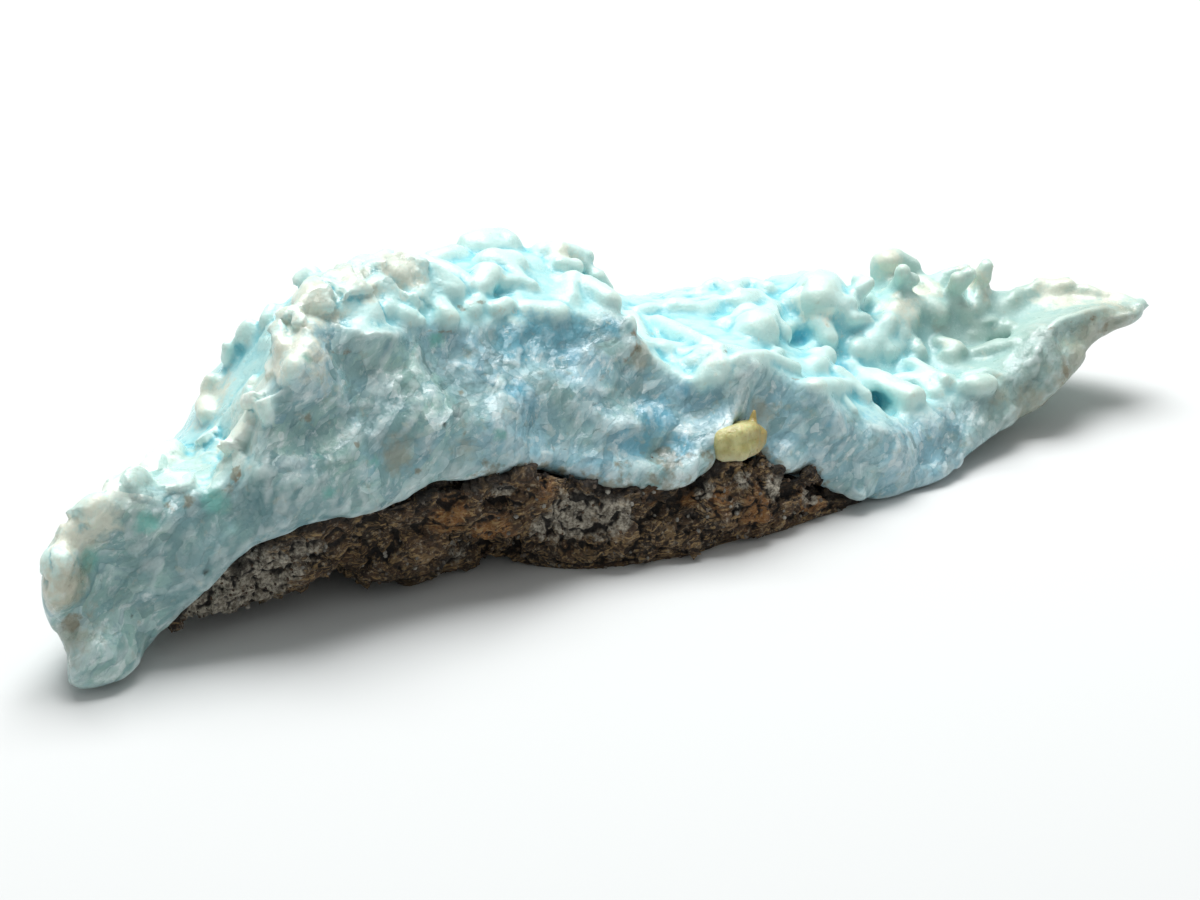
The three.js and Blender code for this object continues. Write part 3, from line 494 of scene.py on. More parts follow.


# Aragonite, grown from hot spring water and left as it grew, snapped on one side: waxy and a little
# see-through, milky pale on the knobs and bluer on the break; painted shade deepens the blue in its hollows
# and nooks.
def aragonite_stone():
    made, tree, shader, place_in = new_material("aragonite_grown_and_snapped")
    mask = {name: add(tree, "ShaderNodeAttribute", attribute_name=name).outputs["Fac"]
            for name in ("broken", "nook_shade", "hollow_shade", "cream", "teal", "blue", "mint", "painted_shade", "green",
                         "tan", "brown", "seam", "pit_shade", "blocky", "dull")}
    bent = warped(tree, place_in, 5 * MM, 3 * MM, 3.0)
    turned = add(tree, "ShaderNodeVectorRotate", {"Vector": bent, "Angle": math.radians(35)},
                 rotation_type="Y_AXIS").outputs[0]
    grain_run = add(tree, "ShaderNodeVectorMath", {0: turned, 1: (0.6, 1.0, 1.25)},
                    operation="MULTIPLY").outputs[0]
    noise = {name: add(tree, "ShaderNodeTexNoise",
                       {"Vector": where, "Scale": 1 / (size * MM), "Detail": detail,
                        "Roughness": rough}).outputs[0]
             for name, where, size, detail, rough in (
                 ("patchy", place_in, 14, 3.0, 0.5), ("cloud", place_in, 4, 4.0, 0.6),
                 ("mottle", place_in, 1.6, 4.0, 0.6), ("streak", grain_run, 1.6, 5.0, 0.7),
                 ("sugar", place_in, 0.45, 4.0, 0.6))}
    # Per crystal cell: a random pick, the painted light and shade across its face (lit), and its tilt for the
    # bump.
    pick, lit, facets = {}, {}, 0.0
    for name, size, tilt in (("patch", 4.2, 0.36), ("chip", 1.7, 0.32), ("glint", 0.8, 0.2)):
        random, rise = tilted_cells(tree, grain_run, 1 / (size * MM))
        pick[name] = add(tree, "ShaderNodeSeparateColor", {0: random}).outputs[1]
        lit[name] = add(tree, "ShaderNodeMath", {0: rise, 1: 1 / (size * MM)},
                        operation="MULTIPLY").outputs[0]
        facets = add(tree, "ShaderNodeMath", {0: rise, 1: tilt, 2: facets},
                     operation="MULTIPLY_ADD").outputs[0]
    ragged = {name: add(tree, "ShaderNodeMath", {0: noise["mottle"], 1: 2.0, 2: mask[name]},
                        operation="MULTIPLY_ADD").outputs[0]
              for name in ("cream", "teal", "blue", "mint", "painted_shade", "green", "tan", "brown", "seam")}

    # The blocks carry painted light and shade across each facet and painted shade in their hollows.
    blocks = painted(tree, "#E8F5EC", (
        (noise["cloud"], 0.4, 0.6, 1.0, "#E9EFE1"),
        (lit["patch"], 0.05, 0.25, 0.6, "#E9F4EA"),
        (lit["patch"], -0.05, -0.25, 0.6, "#A9CFC9"),
        (pick["patch"], 0.8, 0.84, 0.5, "#A3D2CE"),
        (mask["hollow_shade"], 0.5, 0.8, 0.7, "#8FC6C4")))
    # The grown side carries painted shade: deeper cyan in its hollows and nooks.
    grown = painted(tree, "#C8E8E4", (
        (mask["hollow_shade"], 0.42, 0.78, 1.0, "#8CD0D8"),
        (mask["nook_shade"], 0.52, 0.75, 0.85, "#68BECB"),
        (mask["dull"], 0.0, 1.0, 0.75, "#A0B9AE"),
        (noise["patchy"], 0.45, 0.62, 0.4, "#B8E1DD"),
        (ragged["blue"], 1.35, 2.0, 0.75, "#62BFD6"),
        (mask["hollow_shade"], 0.36, 0.12, 0.5, "#E0EBDD"),
        (ragged["mint"], 1.3, 1.7, 0.9, blocks),
        (noise["sugar"], 0.56, 0.75, 0.3, "#EAF6F2")))
    snapped = painted(tree, "#94B8B6", (
        (noise["patchy"], 0.42, 0.6, 1.0, "#94C0CD"),
        (ragged["green"], 1.0, 1.7, 0.8, "#93B8AD"),
        (ragged["blue"], 1.3, 2.0, 0.85, "#72ACC8"),
        # Painted light and shade across each crystal face of the break.
        (lit["patch"], 0.0, 0.3, 0.75, "#BAD3D5"),
        (lit["patch"], 0.0, -0.32, 0.55, "#7099A4"),
        (pick["patch"], 0.82, 0.84, 0.35, "#6E9FB2"),
        (lit["chip"], 0.05, 0.34, 0.5, "#CCDEDF"),
        (lit["chip"], -0.05, -0.34, 0.45, "#648C98"),
        (noise["streak"], 0.54, 0.68, 0.75, "#DDE9E8"),
        (noise["streak"], 0.46, 0.34, 0.5, "#64909B"),
        # Painted glints: sparse near-white highlights on single crystal cells.
        (pick["glint"], 0.98, 0.985, 0.4, "#E6EFEE"),
        (pick["chip"], 0.88, 0.9, 0.45, "#6E918F"),
        # Painted shade over the break's shaded patches.
        (ragged["painted_shade"], 1.15, 1.85, 0.7, "#6C9297"),
        (ragged["blue"], 1.4, 1.95, 0.6, "#58A2B6"),
        (mask["dull"], 0.0, 1.0, 0.5, "#98AA9A"),
        # Painted shade in the break's nooks and painted light on its ridges.
        (mask["nook_shade"], 0.54, 0.85, 0.5, "#6C9399"),
        (mask["nook_shade"], 0.47, 0.25, 0.5, "#DFEAE9")))
    whole = painted(tree, grown, (
        (mask["broken"], 0.0, 1.0, 1.0, snapped),
        (ragged["cream"], 1.25, 1.9, 0.75, "#E0E0CE"),
        (ragged["teal"], 1.35, 2.0, 0.8, "#69AFA6"),
        (ragged["tan"], 1.2, 1.9, 0.5, "#A39B82"),
        # Brown stains, and painted contact shade where the crust lies close over the rock.
        (ragged["brown"], 1.7, 2.0, 0.65, "#7D745A"),
        (ragged["seam"], 1.65, 1.95, 0.6, "#7E6C52"),
        (noise["sugar"], 0.27, 0.23, 0.6, "#86745A"),
        # Painted shade in the tiny pits.
        (mask["pit_shade"], 0.2, 0.8, 0.9, "#2E3A37")))
    gloss = add(tree, "ShaderNodeMapRange", {0: noise["cloud"], 1: 0.35, 2: 0.65, 3: 0.22, 4: 0.5})
    sugar = add(tree, "ShaderNodeBump", {"Height": noise["sugar"], "Distance": 0.16 * MM, "Strength": 0.5})
    angular = add(tree, "ShaderNodeMath", {0: mask["broken"], 1: mask["blocky"]}, operation="MAXIMUM")
    bump = add(tree, "ShaderNodeBump", {"Height": facets, "Distance": 1.0, "Strength": angular.outputs[0],
                                        "Normal": sugar.outputs[0]})
    feed(tree, shader, {"Base Color": whole, "Roughness": gloss.outputs[0], "Normal": bump.outputs[0],
                        "IOR": 1.6, "Subsurface Weight": 0.2, "Subsurface Radius": (0.8, 1.0, 1.0),
                        "Subsurface Scale": 1.5 * MM})
    return made


def knob_tree(material):
    """Grows a tube along each edge and a ball on each closed end, as thick as its vertex says."""
    tree, start, end = shape_tree("coral_knobs", {"Sides": KNOB_SIDES, "Swell": KNOB_SWELL})
    thick = add(tree, "GeometryNodeInputNamedAttribute", {"Name": "thick"}, data_type="FLOAT")
    closed = add(tree, "GeometryNodeInputNamedAttribute", {"Name": "closed"}, data_type="FLOAT")
    size = add(tree, "ShaderNodeMath", {0: thick.outputs["Attribute"], 1: start.outputs["Swell"]})
    line = add(tree, "GeometryNodeMeshToCurve", {"Mesh": start.outputs["Geometry"]})
    ring = add(tree, "GeometryNodeCurvePrimitiveCircle",
               {"Resolution": start.outputs["Sides"], "Radius": 1.0})
    tube = add(tree, "GeometryNodeCurveToMesh",
               {"Curve": line.outputs["Curve"], "Profile Curve": ring.outputs["Curve"],
                "Fill Caps": True, "Scale": size.outputs[0]})
    ball = add(tree, "GeometryNodeMeshIcoSphere", {"Radius": 1.0, "Subdivisions": 4})
    ends = add(tree, "GeometryNodeInstanceOnPoints",
               {"Points": start.outputs["Geometry"], "Instance": ball.outputs["Mesh"],
                "Selection": closed.outputs["Attribute"], "Scale": size.outputs[0]})
    both = add(tree, "GeometryNodeJoinGeometry")
    for part in (ends.outputs["Instances"], tube.outputs["Mesh"]):
        feed(tree, both, {0: part})
    return close_tree(tree, end, both.outputs[0], material)


def knob_lines(rows):
    """One loose line of edges per knob, its points carrying their radii."""
    at, edges, thick, closed = [], [], [], []
    for row in rows:
        balls = len(row) // 4
        edges += [(len(at) + k, len(at) + k + 1) for k in range(balls - 1)]
        at += [Vector(row[4 * k:4 * k + 3]) * MM for k in range(balls)]
        thick += [row[4 * k + 3] * MM for k in range(balls)]
        closed += [1.0] * (balls - 1) + [0.0 if len(row) % 4 else 1.0]
    mesh = bpy.data.meshes.new("knob_lines")
    mesh.from_pydata(at, edges, [])
    made = place("knob_lines", mesh)
    store(made, "thick", np.array(thick))
    store(made, "closed", np.array(closed))
    return made


def grow_knobs(obj, rows, material):
    """Adds the knobs' tubes and balls to obj's mesh."""
    lines = knob_lines(rows)
    knobs = run_tree(lines, knob_tree(material), {}, "knobs")
    drop(lines)
    work = bmesh.new()
    for part in (obj, knobs):
        work.from_mesh(part.data)
    work.to_mesh(obj.data)
    work.free()
    drop(knobs)


FACETS = {"Large facet": 4.6 * MM, "Large tilt": 0.15, "Small facet": 1.9 * MM, "Small tilt": 0.17,
          "Block": 5.5 * MM, "Block tilt": 0.75, "Ripple": 0.9 * MM, "Ripple height": 0.12 * MM,
          "Swelling": 5.0 * MM, "Swelling height": 1.0 * MM, "Wart": 3.0 * MM, "Wart height": 0.6 * MM}


def relief_tree(material):
    """Tilted facets where the break is, blocks, soft swellings and warts where the crust grew free."""
    tree, start, end = shape_tree("crust_relief", FACETS)
    mask = {name: add(tree, "GeometryNodeInputNamedAttribute", {"Name": name},
                      data_type="FLOAT").outputs["Attribute"]
            for name in ("broken", "blocky", "knobby", "loose")}
    place_in = add(tree, "GeometryNodeInputPosition").outputs[0]
    bent = warped(tree, place_in, 3.8 * MM, 2.6 * MM, 2.0)
    turned = add(tree, "ShaderNodeVectorRotate", {"Vector": bent, "Angle": math.radians(38)},
                 rotation_type="Y_AXIS").outputs[0]
    grain_run = add(tree, "ShaderNodeVectorMath", {0: turned, 1: (0.62, 1.0, 1.25)},
                    operation="MULTIPLY").outputs[0]
    one_over = {name: add(tree, "ShaderNodeMath", {0: 1.0, 1: start.outputs[name]},
                          operation="DIVIDE").outputs[0]
                for name in ("Large facet", "Small facet", "Block", "Ripple", "Swelling", "Wart")}

    rise = {}
    for name, tilt, where in (("Large facet", "Large tilt", grain_run),
                              ("Small facet", "Small tilt", grain_run), ("Block", "Block tilt", bent)):
        rise[name] = (tilted_cells(tree, where, one_over[name])[1], start.outputs[tilt])
    for name, height, detail in (("Ripple", "Ripple height", 3.0), ("Swelling", "Swelling height", 2.0)):
        wave = add(tree, "ShaderNodeTexNoise",
                   {"Vector": place_in, "Scale": one_over[name], "Detail": detail, "Roughness": 0.55})
        level = add(tree, "ShaderNodeMath", {0: wave.outputs[0], 1: 0.5}, operation="SUBTRACT")
        rise[name] = (level.outputs[0], start.outputs[height])
    wart = add(tree, "ShaderNodeTexVoronoi", {"Vector": bent, "Scale": one_over["Wart"]},
               feature="SMOOTH_F1")
    dome = add(tree, "ShaderNodeMath", {0: 0.45, 1: wart.outputs["Distance"]}, operation="SUBTRACT")
    rise["Wart"] = (dome.outputs[0], start.outputs["Wart height"])

    sums = {}
    for part, names in (("snapped", ("Large facet", "Small facet", "Ripple")),
                        ("grown", ("Swelling", "Wart"))):
        sums[part] = 0.0
        for name in names:
            sums[part] = add(tree, "ShaderNodeMath", {0: rise[name][0], 1: rise[name][1], 2: sums[part]},
                             operation="MULTIPLY_ADD").outputs[0]
    blocks = add(tree, "ShaderNodeMath", {0: rise["Block"][0], 1: rise["Block"][1]},
                 operation="MULTIPLY").outputs[0]
    lumps = add(tree, "ShaderNodeMath", {0: sums["grown"], 1: mask["knobby"]},
                operation="MULTIPLY").outputs[0]
    grown = add(tree, "ShaderNodeMath", {0: blocks, 1: mask["blocky"], 2: lumps},
                operation="MULTIPLY_ADD").outputs[0]
    mixed = add(tree, "ShaderNodeMix", {0: mask["broken"], 2: grown, 3: sums["snapped"]})
    height = add(tree, "ShaderNodeMath", {0: mixed.outputs[0], 1: mask["loose"]},
                 operation="MULTIPLY").outputs[0]
    return pushed_out(tree, start, end, height, material)


def break_mask(obj):
    """1 below and in front of the break's upper edge, 0 on what grew free."""
    at = points_of(obj) / MM
    edge_y = np.interp(at[:, 0], BREAK_EDGE[:, 0], BREAK_EDGE[:, 1])
    edge_z = np.interp(at[:, 0], BREAK_EDGE[:, 0], BREAK_EDGE[:, 2])
    return blurred(step(-1.0, 1.4, edge_z - at[:, 2]) * step(-4.0, -0.5, edge_y - at[:, 1]), edges_of(obj), 4)


def fill_creases(obj, rounds, share):
    """Draws hollow creases out towards their surroundings and leaves what stands out as it is."""
    at = points_of(obj)
    ends = edges_of(obj)
    for _ in range(rounds):
        set_points(obj, at)
        facing = normals_of(obj)
        pull = blurred(at, ends, 1) - at
        along = (pull * facing).sum(1)
        at = at + pull * (np.where(along > 0, 1.6, 0.12) * share)[:, None]
    set_points(obj, at)


stone = aragonite_stone()
crust = merged_copy("aragonite_crust", "crust")
bake(crust, "REMESH", mode="VOXEL", voxel_size=BODY_VOXEL)
evened(crust, BODY_ROUNDS)
grow_knobs(crust, KNOBS, stone)
bake(crust, "REMESH", mode="VOXEL", voxel_size=CRUST_VOXEL)
bake(crust, "SMOOTH", factor=0.5, iterations=2)

at = points_of(crust) / MM
broken = break_mask(crust)
store(crust, "broken", broken)
store(crust, "loose", step(*FOOT_SPAN, at[:, 2]))
store(crust, "blocky", spots(at, BLOCKY))
store(crust, "knobby", 0.7 + 1.2 * step(*BACK_SPAN, at[:, 1]))
fill_creases(crust, CREASE_ROUNDS, 1 - broken)
soft = blurred(points_of(crust), edges_of(crust), BREAK_ROUNDS)
set_points(crust, points_of(crust) * (1 - broken[:, None]) + soft * broken[:, None])
relieved = run_tree(crust, relief_tree(stone), FACETS, "aragonite_growth")
drop(crust)
crust = relieved
rough = points_of(crust)
worn = blurred(rough, edges_of(crust), WEAR_ROUNDS)
wear = np.maximum(broken, 0.6 * spots(rough / MM, BLOCKY))[:, None]
set_points(crust, rough * (1 - wear) + worn * wear)
thin_out(crust, CRUST_TRIANGLES)
low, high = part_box("aragonite_crust")
clamp_to(crust, low, high)

at = points_of(crust) / MM
store(crust, "broken", break_mask(crust))
bed = merged_copy("host_rock", "bed")
gap = gap_to(skin_of(bed), at)
drop(bed)
for name, rows in (("teal", TEAL_PATCHES), ("blue", BLUE_PATCHES), ("mint", MINT_SLOPES),
                   ("painted_shade", PAINTED_SHADE_PATCHES), ("green", GREEN_PARTS), ("tan", TAN_STAINS),
                   ("blocky", BLOCKY), ("cream", CREAM_CRUSTS), ("pit_shade", DARK_PITS)):
    store(crust, name, spots(at, rows))
# Brown stains, and painted contact shade on the crust within the span of the rock.
store(crust, "brown", np.maximum(spots(at, BROWN_STAINS), 0.9 * (1 - step(*CONTACT_SHADE_SPAN, gap))))
store(crust, "dull", step(*DULL_SPAN, at[:, 0]))
store(crust, "seam", seams(at, BROWN_SEAMS, SEAM_REACH))
store(crust, "nook_shade", hollowness(crust, *NOOK_SHADE))
store(crust, "hollow_shade", hollowness(crust, *HOLLOW_SHADE))
shade_smooth(crust)
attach(crust, "root")
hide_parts("aragonite_crust")


# The host rock: an iron-stained slab of older rock that the crust grew on, brown and crumbly, with
# grey clasts at its left end, fibrous layers in its middle and rusty patches under the dish. The
# crust holds it; loose grains of grit still cling to it.
ROCK_VOXEL = 0.42 * MM
ROCK_TRIANGLES = 190000
# Spans in mm: the height over which the rock turns rough, and how far from the crust it gets painted shade.
ROUGH_SPAN, SHADE_SPAN = (0.05, 0.9), (0.8, 2.6)
# Rounds of blur and depth that count as a pore, where shade is painted.
PORE = (8, 0.32 * MM)
CRUMBS = {"Clast": 3.4 * MM, "Clast height": 1.8 * MM, "Crumb": 1.2 * MM, "Crumb height": 0.7 * MM,
          "Layer": 1.5 * MM, "Layer height": 2.6 * MM, "Swell": 8.0 * MM, "Swell height": 3.6 * MM}
# Pale granular, rusty and dark places of the rock, the dark ones partly painted shadow under the crust's
# overhang: x, y, z and reach, in mm.
PALE_ROCK = [(-63, -14, 6, 6), (-57, -14, 8, 6), (-52, -14, 11, 4), (-16.5, -21.5, 8, 4.5),
             (-11.5, -22.5, 7.5, 3.2), (-20, -21, 7, 2.5), (1, -25, 9, 1.6), (7, -25.5, 9, 1.6),
             (12, -26, 7, 2.2), (18, -25.5, 4, 1.8), (5, -25.5, 6, 1.8), (-26, -20, 14, 2),
             (-31, -17, 3, 2.5)]
RUSTY_ROCK = [(-1, -23.5, 8.5, 3), (-6, -23, 9.5, 2.5), (18, -25, 3.5, 3.5), (8, -26, 5, 4),
              (-33, -18.5, 11, 4), (-27, -19, 8, 4), (-21, -21, 13, 2.5), (3, -25, 7, 3)]
DARK_AND_SHADOWED_ROCK = [(-39, -15, 2, 5), (-33, -17, 3, 4), (-55, -15.5, 11, 2), (-37, -19, 14.5, 2.5),
             (-12, -22.5, 11.5, 3), (-2, -24, 11, 2.2), (14, -26, 9, 2), (-8, -23.2, 10.6, 2.6),
             (-60, -14.6, 9.5, 2), (-57, -15, 10.8, 2), (-51, -16.5, 13, 2), (-46, -18, 14.5, 2)]


# Iron-stained altered rock, broken and weathered: dull and rough, with painted shade making it black in its
# pores and along the crust's foot, and with tan fibres, orange rust and grey granular clasts.
def rusty_rock():
    made, tree, shader, place_in = new_material("iron_stained_rock_broken")
    mask = {name: add(tree, "ShaderNodeAttribute", attribute_name=name).outputs["Fac"]
            for name in ("nook_shade", "pale", "rusty", "dark")}
    warp = add(tree, "ShaderNodeTexNoise", {"Vector": place_in, "Scale": 1 / (6 * MM), "Detail": 2.0})
    off = add(tree, "ShaderNodeVectorMath", {0: warp.outputs["Color"], "Scale": 5 * MM},
              operation="SCALE").outputs[0]
    bent = add(tree, "ShaderNodeVectorMath", {0: place_in, 1: off}, operation="ADD").outputs[0]
    bedded = add(tree, "ShaderNodeVectorMath", {0: bent, 1: (0.14, 0.5, 1.0)},
                 operation="MULTIPLY").outputs[0]
    noise = {name: add(tree, "ShaderNodeTexNoise",
                       {"Vector": where, "Scale": 1 / (size * MM), "Detail": detail,
                        "Roughness": 0.65}).outputs[0]
             for name, where, size, detail in (
                 ("broad", place_in, 5, 3.0), ("mottle", place_in, 1.8, 4.0), ("fibre", bedded, 0.5, 3.0),
                 ("fine", place_in, 0.6, 5.0), ("grain", place_in, 0.35, 5.0), ("thread", bedded, 0.3, 2.0))}
    ragged = {name: add(tree, "ShaderNodeMath", {0: noise["mottle"], 1: 2.0, 2: mask[name]},
                        operation="MULTIPLY_ADD").outputs[0] for name in ("pale", "rusty", "dark")}
    pale = painted(tree, "#746D61", ((noise["fine"], 0.42, 0.62, 1.0, "#D2CAB9"),))
    colour = painted(tree, "#2C2118", (
        (noise["broad"], 0.42, 0.62, 1.0, "#5C4530"),
        (noise["fibre"], 0.5, 0.6, 0.8, "#8C7350"),
        (noise["fine"], 0.55, 0.68, 0.8, "#B0A189"),
        (ragged["rusty"], 1.4, 1.9, 0.6, "#A9743C"),
        (noise["thread"], 0.57, 0.62, 0.6, "#BFA070"),
        (noise["thread"], 0.42, 0.38, 0.6, "#1A130D"),
        (ragged["pale"], 1.2, 1.55, 0.95, pale),
        # Dark places of the rock, and painted shadow under and along the crust.
        (ragged["dark"], 1.4, 2.0, 0.85, "#120E0B"),
        # Painted shade in the pores.
        (mask["nook_shade"], 0.52, 0.8, 0.95, "#0C0908")))
    dull = add(tree, "ShaderNodeMapRange", {0: noise["fine"], 1: 0.35, 2: 0.7, 3: 0.95, 4: 0.55})
    height = add(tree, "ShaderNodeMath", {0: noise["grain"], 1: noise["fibre"]}).outputs[0]
    bump = add(tree, "ShaderNodeBump", {"Height": height, "Distance": 0.5 * MM, "Strength": 1.0})
    feed(tree, shader, {"Base Color": colour, "Roughness": dull.outputs[0], "Normal": bump.outputs[0]})
    return made


def crumb_tree(material):
    """Broken clasts, crumbs, pores and the edges of layers, pushed out of or into the slab."""
    tree, start, end = shape_tree("rock_crumble", CRUMBS)
    place_in = add(tree, "GeometryNodeInputPosition").outputs[0]
    loose = add(tree, "GeometryNodeInputNamedAttribute", {"Name": "loose"},
                data_type="FLOAT").outputs["Attribute"]
    bent = warped(tree, place_in, 2.9 * MM, 3.0 * MM, 3.0)
    bedded = add(tree, "ShaderNodeVectorMath", {0: bent, 1: (0.18, 0.4, 1.0)},
                 operation="MULTIPLY").outputs[0]
    rise = 0.0
    for name, kind, where, detail in (
            ("Clast", "ShaderNodeTexVoronoi", bent, 0.0), ("Crumb", "ShaderNodeTexVoronoi", bent, 0.0),
            ("Layer", "ShaderNodeTexNoise", bedded, 3.0), ("Swell", "ShaderNodeTexNoise", place_in, 4.0)):
        one_over = add(tree, "ShaderNodeMath", {0: 1.0, 1: start.outputs[name]}, operation="DIVIDE")
        pattern = add(tree, kind, {"Vector": where, "Scale": one_over.outputs[0], "Detail": detail})
        red = add(tree, "ShaderNodeSeparateXYZ", {0: pattern.outputs["Color"]}).outputs[0]
        level = add(tree, "ShaderNodeMath", {0: red, 1: 0.5}, operation="SUBTRACT").outputs[0]
        rise = add(tree, "ShaderNodeMath", {0: level, 1: start.outputs[name + " height"], 2: rise},
                   operation="MULTIPLY_ADD").outputs[0]
    rise = add(tree, "ShaderNodeMath", {0: rise, 1: loose}, operation="MULTIPLY").outputs[0]
    return pushed_out(tree, start, end, rise, material)


rock_stuff = rusty_rock()
slab = merged_copy("host_rock", "slab")
bake(slab, "REMESH", mode="VOXEL", voxel_size=ROCK_VOXEL)
at = points_of(slab)
crust_skin = skin_of(crust)
nearest = [crust_skin.find_nearest(Vector(v)) for v in at]
under = np.array([(Vector(v) - spot).dot(facing) < 0 for v, (spot, facing, _, _) in zip(at, nearest)])
store(slab, "loose", step(*ROUGH_SPAN, at[:, 2] / MM) * np.where(under, 0.0, 1.0))
crumbled = run_tree(slab, crumb_tree(rock_stuff), CRUMBS, "host_rock_slab")
drop(slab)
slab = crumbled
thin_out(slab, ROCK_TRIANGLES)
low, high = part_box("host_rock")
clamp_to(slab, low, high)
at = points_of(slab) / MM
gap = gap_to(crust_skin, at)
store(slab, "nook_shade", hollowness(slab, *PORE))
for name, rows in (("pale", PALE_ROCK), ("rusty", RUSTY_ROCK)):
    store(slab, name, spots(at, rows))
# Dark places, and painted shade where the rock lies close under the crust.
store(slab, "dark", np.maximum(spots(at, DARK_AND_SHADOWED_ROCK), 1 - step(*SHADE_SPAN, gap)))
shade_smooth(slab)
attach(slab, "root")
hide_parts("host_rock")


# The grit: loose chips of the same rock and its minerals, 0.1 to 0.8 mm across, that broke off the
# weathered slab and still cling all over it, half sunk in its crumbly skin.
GRIT = {"Per square metre": 450000.0, "Smallest": 0.08 * MM, "Largest": 0.3 * MM, "Seed": 4}


# Quartz, calcite and iron oxide, broken into chips: dull or a little glassy, off-white to black.
def grit_stuff():
    made, tree, shader, place_in = new_material("mixed_rock_grit")
    tone = add(tree, "ShaderNodeAttribute", attribute_name="tone").outputs["Fac"]
    ramp = add(tree, "ShaderNodeValToRGB", {"Fac": tone})
    stops = [(0.0, "#120D0A"), (0.4, "#3A2818"), (0.75, "#6F5336"), (0.92, "#8F8D86"), (1.0, "#C5C1B5")]
    ramp.color_ramp.elements.remove(ramp.color_ramp.elements[1])
    for k, (spot, code) in enumerate(stops):
        stop = ramp.color_ramp.elements[0] if k == 0 else ramp.color_ramp.elements.new(spot)
        stop.color = linear(code)
    speckle = add(tree, "ShaderNodeTexNoise", {"Vector": place_in, "Scale": 1 / (0.3 * MM), "Detail": 2.0})
    colour = add(tree, "ShaderNodeMix", {0: speckle.outputs[0], 6: ramp.outputs[0], 7: linear("#2A2018")},
                 data_type="RGBA")
    feed(tree, shader, {"Base Color": colour.outputs[2], "Roughness": 0.55})
    return made


def grit_tree(material):
    """Chips scattered over the slab, each turned and sized at random and half sunk in it."""
    tree, start, end = shape_tree("rock_grit", GRIT)
    scatter = add(tree, "GeometryNodeDistributePointsOnFaces",
                  {"Mesh": start.outputs["Geometry"], "Density": start.outputs["Per square metre"],
                   "Seed": start.outputs["Seed"]})
    chip = add(tree, "GeometryNodeMeshIcoSphere", {"Radius": 1.0, "Subdivisions": 1})
    turn = add(tree, "FunctionNodeRandomValue", {0: (0.0, 0.0, 0.0), 1: (6.2, 6.2, 6.2)},
               data_type="FLOAT_VECTOR")
    stretch = add(tree, "FunctionNodeRandomValue", {0: (0.6, 0.6, 0.6), 1: (1.4, 1.4, 1.4)},
                  data_type="FLOAT_VECTOR")
    size = add(tree, "FunctionNodeRandomValue",
               {2: start.outputs["Smallest"], 3: start.outputs["Largest"]}, data_type="FLOAT")
    scale = add(tree, "ShaderNodeVectorMath", {0: stretch.outputs[0], "Scale": size.outputs[1]},
                operation="SCALE")
    placed = add(tree, "GeometryNodeInstanceOnPoints",
                 {"Points": scatter.outputs["Points"], "Instance": chip.outputs["Mesh"],
                  "Rotation": turn.outputs[0], "Scale": scale.outputs[0]})
    shade = add(tree, "FunctionNodeRandomValue", {2: 0.0, 3: 1.0}, data_type="FLOAT")
    named = add(tree, "GeometryNodeStoreNamedAttribute",
                {"Geometry": placed.outputs[0], "Name": "tone", "Value": shade.outputs[1]},
                data_type="FLOAT", domain="INSTANCE")
    return close_tree(tree, end, named.outputs[0], material)


grit = run_tree(slab, grit_tree(grit_stuff()), GRIT, "rock_grit")
clamp_to(grit, low, high)
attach(grit, "root")


# The yellow grain: a waxy, olive-yellow nodule with a flattish top, grown in place and caught between
# crust and rock, with a small upright spur at its right and a rusty rim.
GRAIN_VOXEL = 0.22 * MM
GRAIN_KNOBS = [
    (5.0, -23.5, 14.3, 1.5, 6.8, -24.2, 14.9, 1.4, 8.8, -23.9, 14.9, 1.2),
    (4.9, -23.8, 13.1, 1.3, 6.6, -24.9, 13.2, 1.3, 8.6, -24.3, 13.7, 1.1),
    (9.4, -23.6, 14.6, 0.7, 9.9, -23, 16.2, 0.3, 10.2, -22.8, 17.0, 0.1),
]


# A calcite or aragonite nodule left as it grew: yellow, waxy, paler low down and rusty at its rim.
def yellow_wax():
    made, tree, shader, place_in = new_material("yellow_carbonate_nodule")
    high = add(tree, "ShaderNodeSeparateXYZ", {0: place_in}).outputs
    noise = {name: add(tree, "ShaderNodeTexNoise",
                       {"Vector": place_in, "Scale": 1 / (size * MM), "Detail": 4.0}).outputs[0]
             for name, size in (("cloud", 2.0), ("grain", 0.4))}
    colour = painted(tree, "#ADA66A", (
        (noise["cloud"], 0.4, 0.62, 1.0, "#CCC88E"),
        (high[2], 0.0135, 0.0115, 0.6, "#E6E6CE"),
        (high[0], 0.0082, 0.0098, 0.7, "#A08A4A"),
        (noise["grain"], 0.6, 0.72, 0.5, "#8A6A34")))
    bump = add(tree, "ShaderNodeBump", {"Height": noise["cloud"], "Distance": 0.9 * MM, "Strength": 0.8})
    feed(tree, shader, {"Base Color": colour, "Roughness": 0.35, "Normal": bump.outputs[0],
                        "Subsurface Weight": 0.2, "Subsurface Scale": 1.0 * MM})
    return made


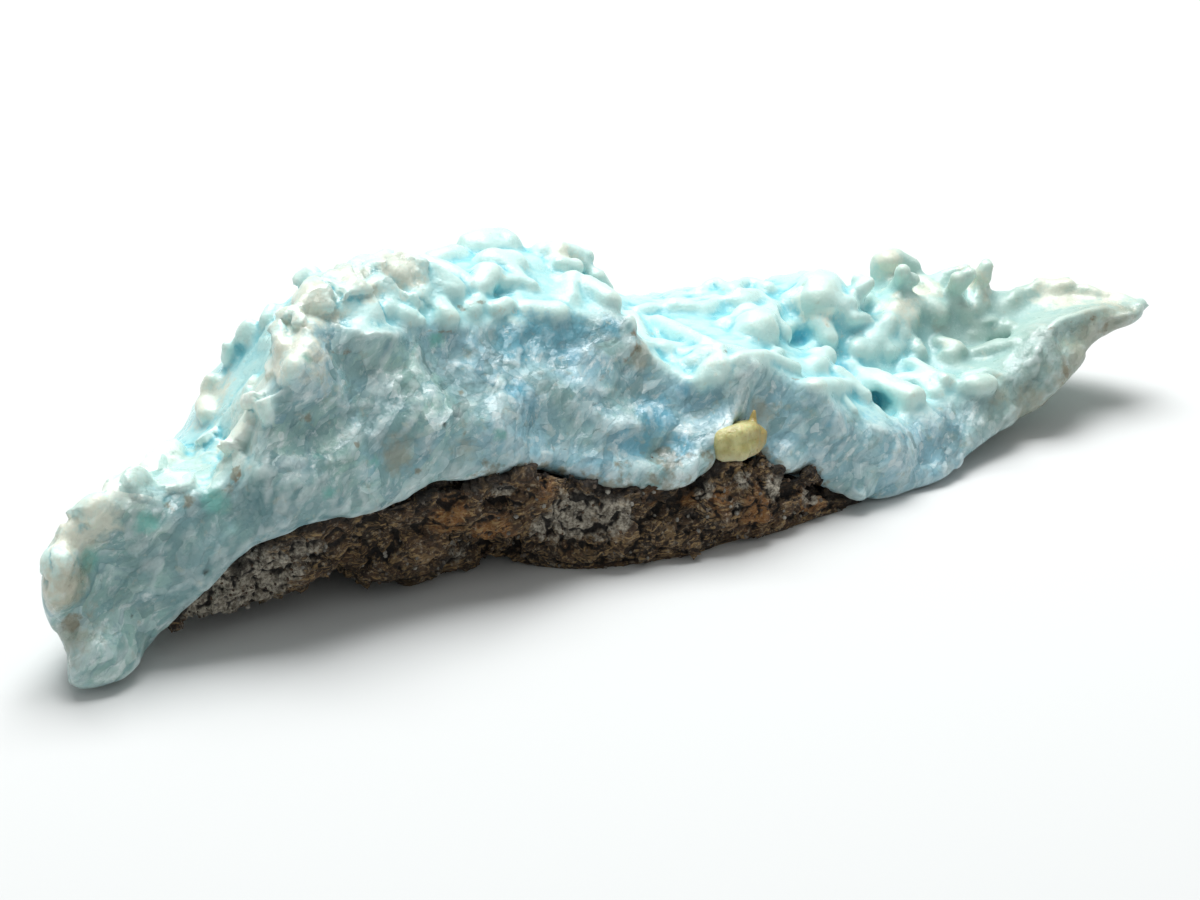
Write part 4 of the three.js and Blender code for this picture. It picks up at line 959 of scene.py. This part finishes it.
yellow = yellow_wax()
grain = merged_copy("yellow_grain", "yellow_nodule")
grow_knobs(grain, GRAIN_KNOBS, yellow)
bake(grain, "REMESH", mode="VOXEL", voxel_size=GRAIN_VOXEL)
bake(grain, "SMOOTH", factor=0.5, iterations=4)
shade_smooth(grain)
grain.data.materials.clear()
grain.data.materials.append(yellow)
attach(grain, "root")
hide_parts("yellow_grain")


# The floor, the light and the camera: a plain pale ground, a wide soft light overhead and behind,
# and the photograph's view from the right and above.
WIDE = 6.0
ground_mesh = bpy.data.meshes.new("floor")
ground_mesh.from_pydata([(-WIDE, -WIDE, 0), (WIDE, -WIDE, 0), (WIDE, WIDE, 0), (-WIDE, WIDE, 0)], [],
                        [(0, 1, 2, 3)])
floor = place("floor", ground_mesh)
floor_paint, floor_tree, floor_shader, _ = new_material("pale_paper_floor")
feed(floor_tree, floor_shader, {"Base Color": linear("#D6D8D8"), "Roughness": 0.9})
ground_mesh.materials.append(floor_paint)

scene = bpy.context.scene
scene.view_settings.view_transform = "Standard"
world = bpy.data.worlds.new("pale_room")
scene.world = world
world.use_nodes = True
feed(world.node_tree, world.node_tree.nodes["Background"], {"Color": linear("#F4F6F5"), "Strength": 0.45})

lamp = bpy.data.lights.new("window_above", "AREA")
lamp.shape = "RECTANGLE"
lamp.size, lamp.size_y = 0.5, 0.5
lamp.energy = 6.7
window = place("window_above", lamp)
window.location = (0.08, 0.22, 0.65)
window.rotation_euler = (Vector((0, 0, 0.02)) - window.location).to_track_quat("-Z", "Y").to_euler()

# The camera stands 414 mm from its aim, turned 32 degrees to the right side and 24 degrees up.
AIM = Vector((4.09, 5.19, 2.40)) * MM
AWAY = 414 * MM
TURN, RISE = math.radians(-32), math.radians(24)
back = Vector((math.sin(TURN) * math.cos(RISE), -math.cos(TURN) * math.cos(RISE), math.sin(RISE)))
camera_data = bpy.data.cameras.new("camera")
camera_data.sensor_width = 36
camera_data.lens = 90
camera_data.clip_start = 0.01
camera = place("camera", camera_data)
camera.location = AIM + back * AWAY
camera.rotation_euler = back.to_track_quat("Z", "Y").to_euler()
scene.camera = camera
